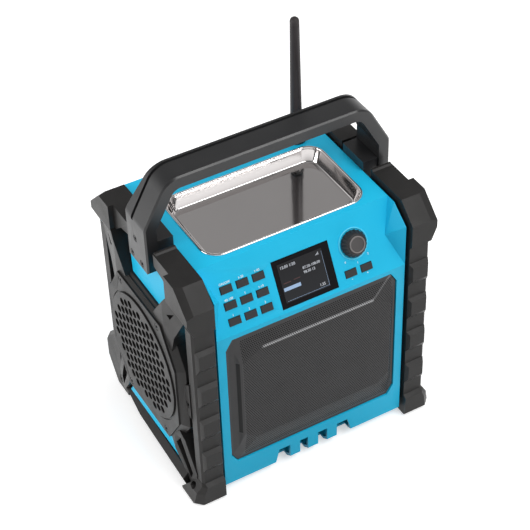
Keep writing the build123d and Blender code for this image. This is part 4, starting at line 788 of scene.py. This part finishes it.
def panelWords(words, low, high):
    # each word is (text, x, s, letter height, side it is set from); made a mesh before it is placed
    allVerts, allFaces, start = [], [], 0
    for text, x, s, size, side in words:
        curve = bpy.data.curves.new("words", "FONT")
        curve.body, curve.size, curve.extrude = text, size / capShare, (high - low) / 2
        curve.align_x, curve.align_y, curve.resolution_u, curve.offset = side, "CENTER", 3, 0.02 * size
        holder = bpy.data.objects.new("words", curve)
        bpy.context.scene.collection.objects.link(holder)
        flat = bpy.data.meshes.new_from_object(holder.evaluated_get(bpy.context.evaluated_depsgraph_get()))
        points = np.empty(3 * len(flat.vertices))
        flat.vertices.foreach_get("co", points)
        points = points.reshape(-1, 3)
        allVerts.append(toFrame(onPanel(x + points[:, 0], s + points[:, 1], (low + high) / 2 + points[:, 2])))
        allFaces += [[start + v for v in face.vertices] for face in flat.polygons]
        start += len(points)
        bpy.data.objects.remove(holder)
        bpy.data.curves.remove(curve)
        bpy.data.meshes.remove(flat)
    return np.concatenate(allVerts), allFaces


def panelPiece(name, parts, material):
    verts, faces, start = [], [], 0
    for partVerts, partFaces in parts:
        verts.append(partVerts)
        faces += [[start + v for v in face] for face in partFaces]
        start += len(partVerts)
    return newPiece(name, np.concatenate(verts), faces, material, "housing", False)


screenLook = {
    "area": (-26.0, 21.7, 9.0, 47.1), "low": 0.405, "high": 0.43, "printed": 0.46, "overlap": 0.01,
    "words": [("12:00 1/20", -23.8, 42.9, 2.7, "LEFT"), ("87.50-108.00", -1.4, 35.4, 2.5, "LEFT"),
              ("98.50 12", -1.4, 31.0, 2.5, "LEFT"), ("1.25", 11.2, 13.2, 2.6, "LEFT")],
    "bars": [(14.6, 15.3, 42.2, 43.0), (15.8, 16.5, 42.2, 43.9), (17.0, 17.7, 42.2, 44.8)],
    "thin": [(20.9, 21.1, 10.4, 44.6), (-24.0, 21.1, 10.2, 10.4)],
    "chosen": [(-25.0, -7.0, 20.2, 23.6)],
    "faint": [(-24.0, -16.0, 27.4, 28.2), (-13.0, -6.0, 28.0, 28.7)],
}
panelPiece("lcdField", [panelBoxes([screenLook["area"]], screenLook["low"], screenLook["high"])], screenDark)
printedFrom, printedTo = screenLook["high"] - screenLook["overlap"], screenLook["printed"]
panelPiece("lcdWhite", [
    panelWords(screenLook["words"], printedFrom, printedTo),
    panelBoxes(screenLook["bars"], printedFrom, printedTo),
], screenWhite)
blueBoxes = screenLook["chosen"] + screenLook["thin"]
panelPiece("lcdBlue", [panelBoxes(blueBoxes, printedFrom, printedTo)], screenBlue)
panelPiece("lcdFaint", [panelBoxes(screenLook["faint"], printedFrom, printedTo)], screenFaint)

# plain marks: one over each key, a minus and a plus under the lower two, three numbers round the knob
keyMarks = {
    "columns": (-79.9, -63.0, -46.1), "rows": (44.0, 28.1, 12.4), "above": 5.9, "size": 2.2,
    "texts": (("ON/OFF", "1-20", "1-40"), ("88-108", "1", "1-10"), ("1", "2", "3")),
    "signs": (("-", 45.4), ("+", 62.6)), "signS": 6.6, "signSize": 2.4,
    "dial": (("0", -130.0), ("1", -90.0), ("2", -50.0)), "dialRadius": 19.6, "dialSize": 2.0,
    "low": 0.01, "high": 0.05,
}
legendWords = [
    (text, x, s + keyMarks["above"], keyMarks["size"], "CENTER")
    for s, row in zip(keyMarks["rows"], keyMarks["texts"]) for x, text in zip(keyMarks["columns"], row)
]
legendWords += [(text, x, keyMarks["signS"], keyMarks["signSize"], "CENTER") for text, x in keyMarks["signs"]]
for text, turn in keyMarks["dial"]:
    x = knobLook["x"] + keyMarks["dialRadius"] * math.cos(math.radians(turn))
    s = knobLook["s"] + keyMarks["dialRadius"] * math.sin(math.radians(turn))
    legendWords.append((text, x, s, keyMarks["dialSize"], "CENTER"))
panelPiece("keyMarks", [panelWords(legendWords, keyMarks["low"], keyMarks["high"])], ink)
print("display and marks made")

# floor, light and camera
stageLook = {
    "floorSize": 12.0, "floorSeen": (0.80, 0.80, 0.80), "floorFront": (0.22, 0.22, 0.22),
    "floorBack": (0.95, 0.95, 0.95), "floorLift": 0.5, "across": (-0.15, 0.18), "rightward": (0.02, 0.16),
    "worldLow": 0.12, "worldHigh": 0.95, "mirrorLow": 1.0, "mirrorHigh": 0.28, "mirrorFade": (0.12, 0.55),
    "aim": (0.0, 0.0, 0.15),
    "lamps": {
        "softbox": {"place": (0.85, -1.65, 2.35), "size": 1.5, "power": 40.0},
        "sideFill": {"place": (-2.6, 0.5, 0.9), "size": 1.6, "power": 36.0},
    },
}
half = stageLook["floorSize"] / 2
floorMesh = bpy.data.meshes.new("floor")
floorCorners = [(-half, -half, 0.0), (half, -half, 0.0), (half, half, 0.0), (-half, half, 0.0)]
floorMesh.from_pydata(floorCorners, [], [(0, 1, 2, 3)])
floor = bpy.data.objects.new("floor", floorMesh)
bpy.context.scene.collection.objects.link(floor)
# the floor looks white, also in metal and glass, keeps the shadow and throws little light back up
floorPaint, tree, shader, place = newMaterial("floorPaint")
rays = tree.nodes.new("ShaderNodeLightPath")
mirrorRay = mathNode(tree, "MAXIMUM", rays.outputs["Is Glossy Ray"], rays.outputs["Is Transmission Ray"])
seen = mathNode(tree, "MAXIMUM", rays.outputs["Is Camera Ray"], mirrorRay)
lift = stageLook["floorLift"]
# what it throws back grows towards the rear left, along y - 0.7 x, and towards the right
apart = tree.nodes.new("ShaderNodeSeparateXYZ")
tree.links.new(place, apart.inputs[0])
across = mathNode(tree, "MULTIPLY_ADD", apart.outputs["X"], -0.7, apart.outputs["Y"])
rearward = rangeNode(tree, across, *stageLook["across"], 0.0, 1.0)
rightward = rangeNode(tree, apart.outputs["X"], *stageLook["rightward"], 0.0, 1.0)
brighter = mathNode(tree, "MAXIMUM", rearward, rightward)
bounce = mixColor(tree, brighter, stageLook["floorFront"], stageLook["floorBack"])
tree.links.new(mixColor(tree, seen, bounce, stageLook["floorSeen"]), shader.inputs["Base Color"])
tree.links.new(mixColor(tree, seen, (0.0, 0.0, 0.0), (lift, lift, lift)), shader.inputs["Emission Color"])
shader.inputs["Emission Strength"].default_value = 1.0
shader.inputs["Roughness"].default_value = 0.9
shader.inputs["Specular IOR Level"].default_value = 0.0
floorMesh.materials.append(floorPaint)

# the world is brighter overhead; to mirrors it is white at the horizon and grey overhead
world = bpy.data.worlds.new("studio")
bpy.context.scene.world = world
world.use_nodes = True
tree = world.node_tree
sky = tree.nodes["Background"]
sky.inputs["Color"].default_value = (1.0, 1.0, 1.0, 1.0)
rays = tree.nodes.new("ShaderNodeLightPath")
way = tree.nodes.new("ShaderNodeTexCoord")
apart = tree.nodes.new("ShaderNodeSeparateXYZ")
tree.links.new(way.outputs["Generated"], apart.inputs[0])
spread = rangeNode(tree, apart.outputs["Z"], 0.0, 1.0, stageLook["worldLow"], stageLook["worldHigh"])
mirrorLevels = stageLook["mirrorLow"], stageLook["mirrorHigh"]
mirrored = rangeNode(tree, apart.outputs["Z"], *stageLook["mirrorFade"], *mirrorLevels)
glossy = mathNode(tree, "MAXIMUM", rays.outputs["Is Glossy Ray"], rays.outputs["Is Transmission Ray"])
level = tree.nodes.new("ShaderNodeMix")
tree.links.new(glossy, level.inputs[0])
tree.links.new(spread, level.inputs[2])
tree.links.new(mirrored, level.inputs[3])
seen = tree.nodes.new("ShaderNodeMix")
tree.links.new(rays.outputs["Is Camera Ray"], seen.inputs[0])
tree.links.new(level.outputs[0], seen.inputs[2])
seen.inputs[3].default_value = 1.0
tree.links.new(seen.outputs[0], sky.inputs["Strength"])

for name, look in stageLook["lamps"].items():
    lamp = bpy.data.lights.new(name, "AREA")
    lamp.shape, lamp.size, lamp.energy = "SQUARE", look["size"], look["power"]
    stand = bpy.data.objects.new(name, lamp)
    bpy.context.scene.collection.objects.link(stand)
    stand.location = look["place"]
    toObject = Vector(stageLook["aim"]) - Vector(look["place"])
    stand.rotation_euler = toObject.to_track_quat("-Z", "Y").to_euler()

cameraFacts = {
    "place": (-0.564968, -1.053003, 1.236159),
    "turn": (48.402517, 1.512701, -29.843734),
    "lens": 109.4987,
}
camera = bpy.data.objects.new("camera", bpy.data.cameras.new("camera"))
bpy.context.scene.collection.objects.link(camera)
camera.location = cameraFacts["place"]
camera.rotation_euler = [math.radians(a) for a in cameraFacts["turn"]]
camera.data.sensor_width = 36.0
camera.data.lens = cameraFacts["lens"]
camera.data.clip_start, camera.data.clip_end = 0.05, 50.0
bpy.context.scene.camera = camera
bpy.context.scene.view_settings.view_transform = "Standard"
print("stage, light and camera set")
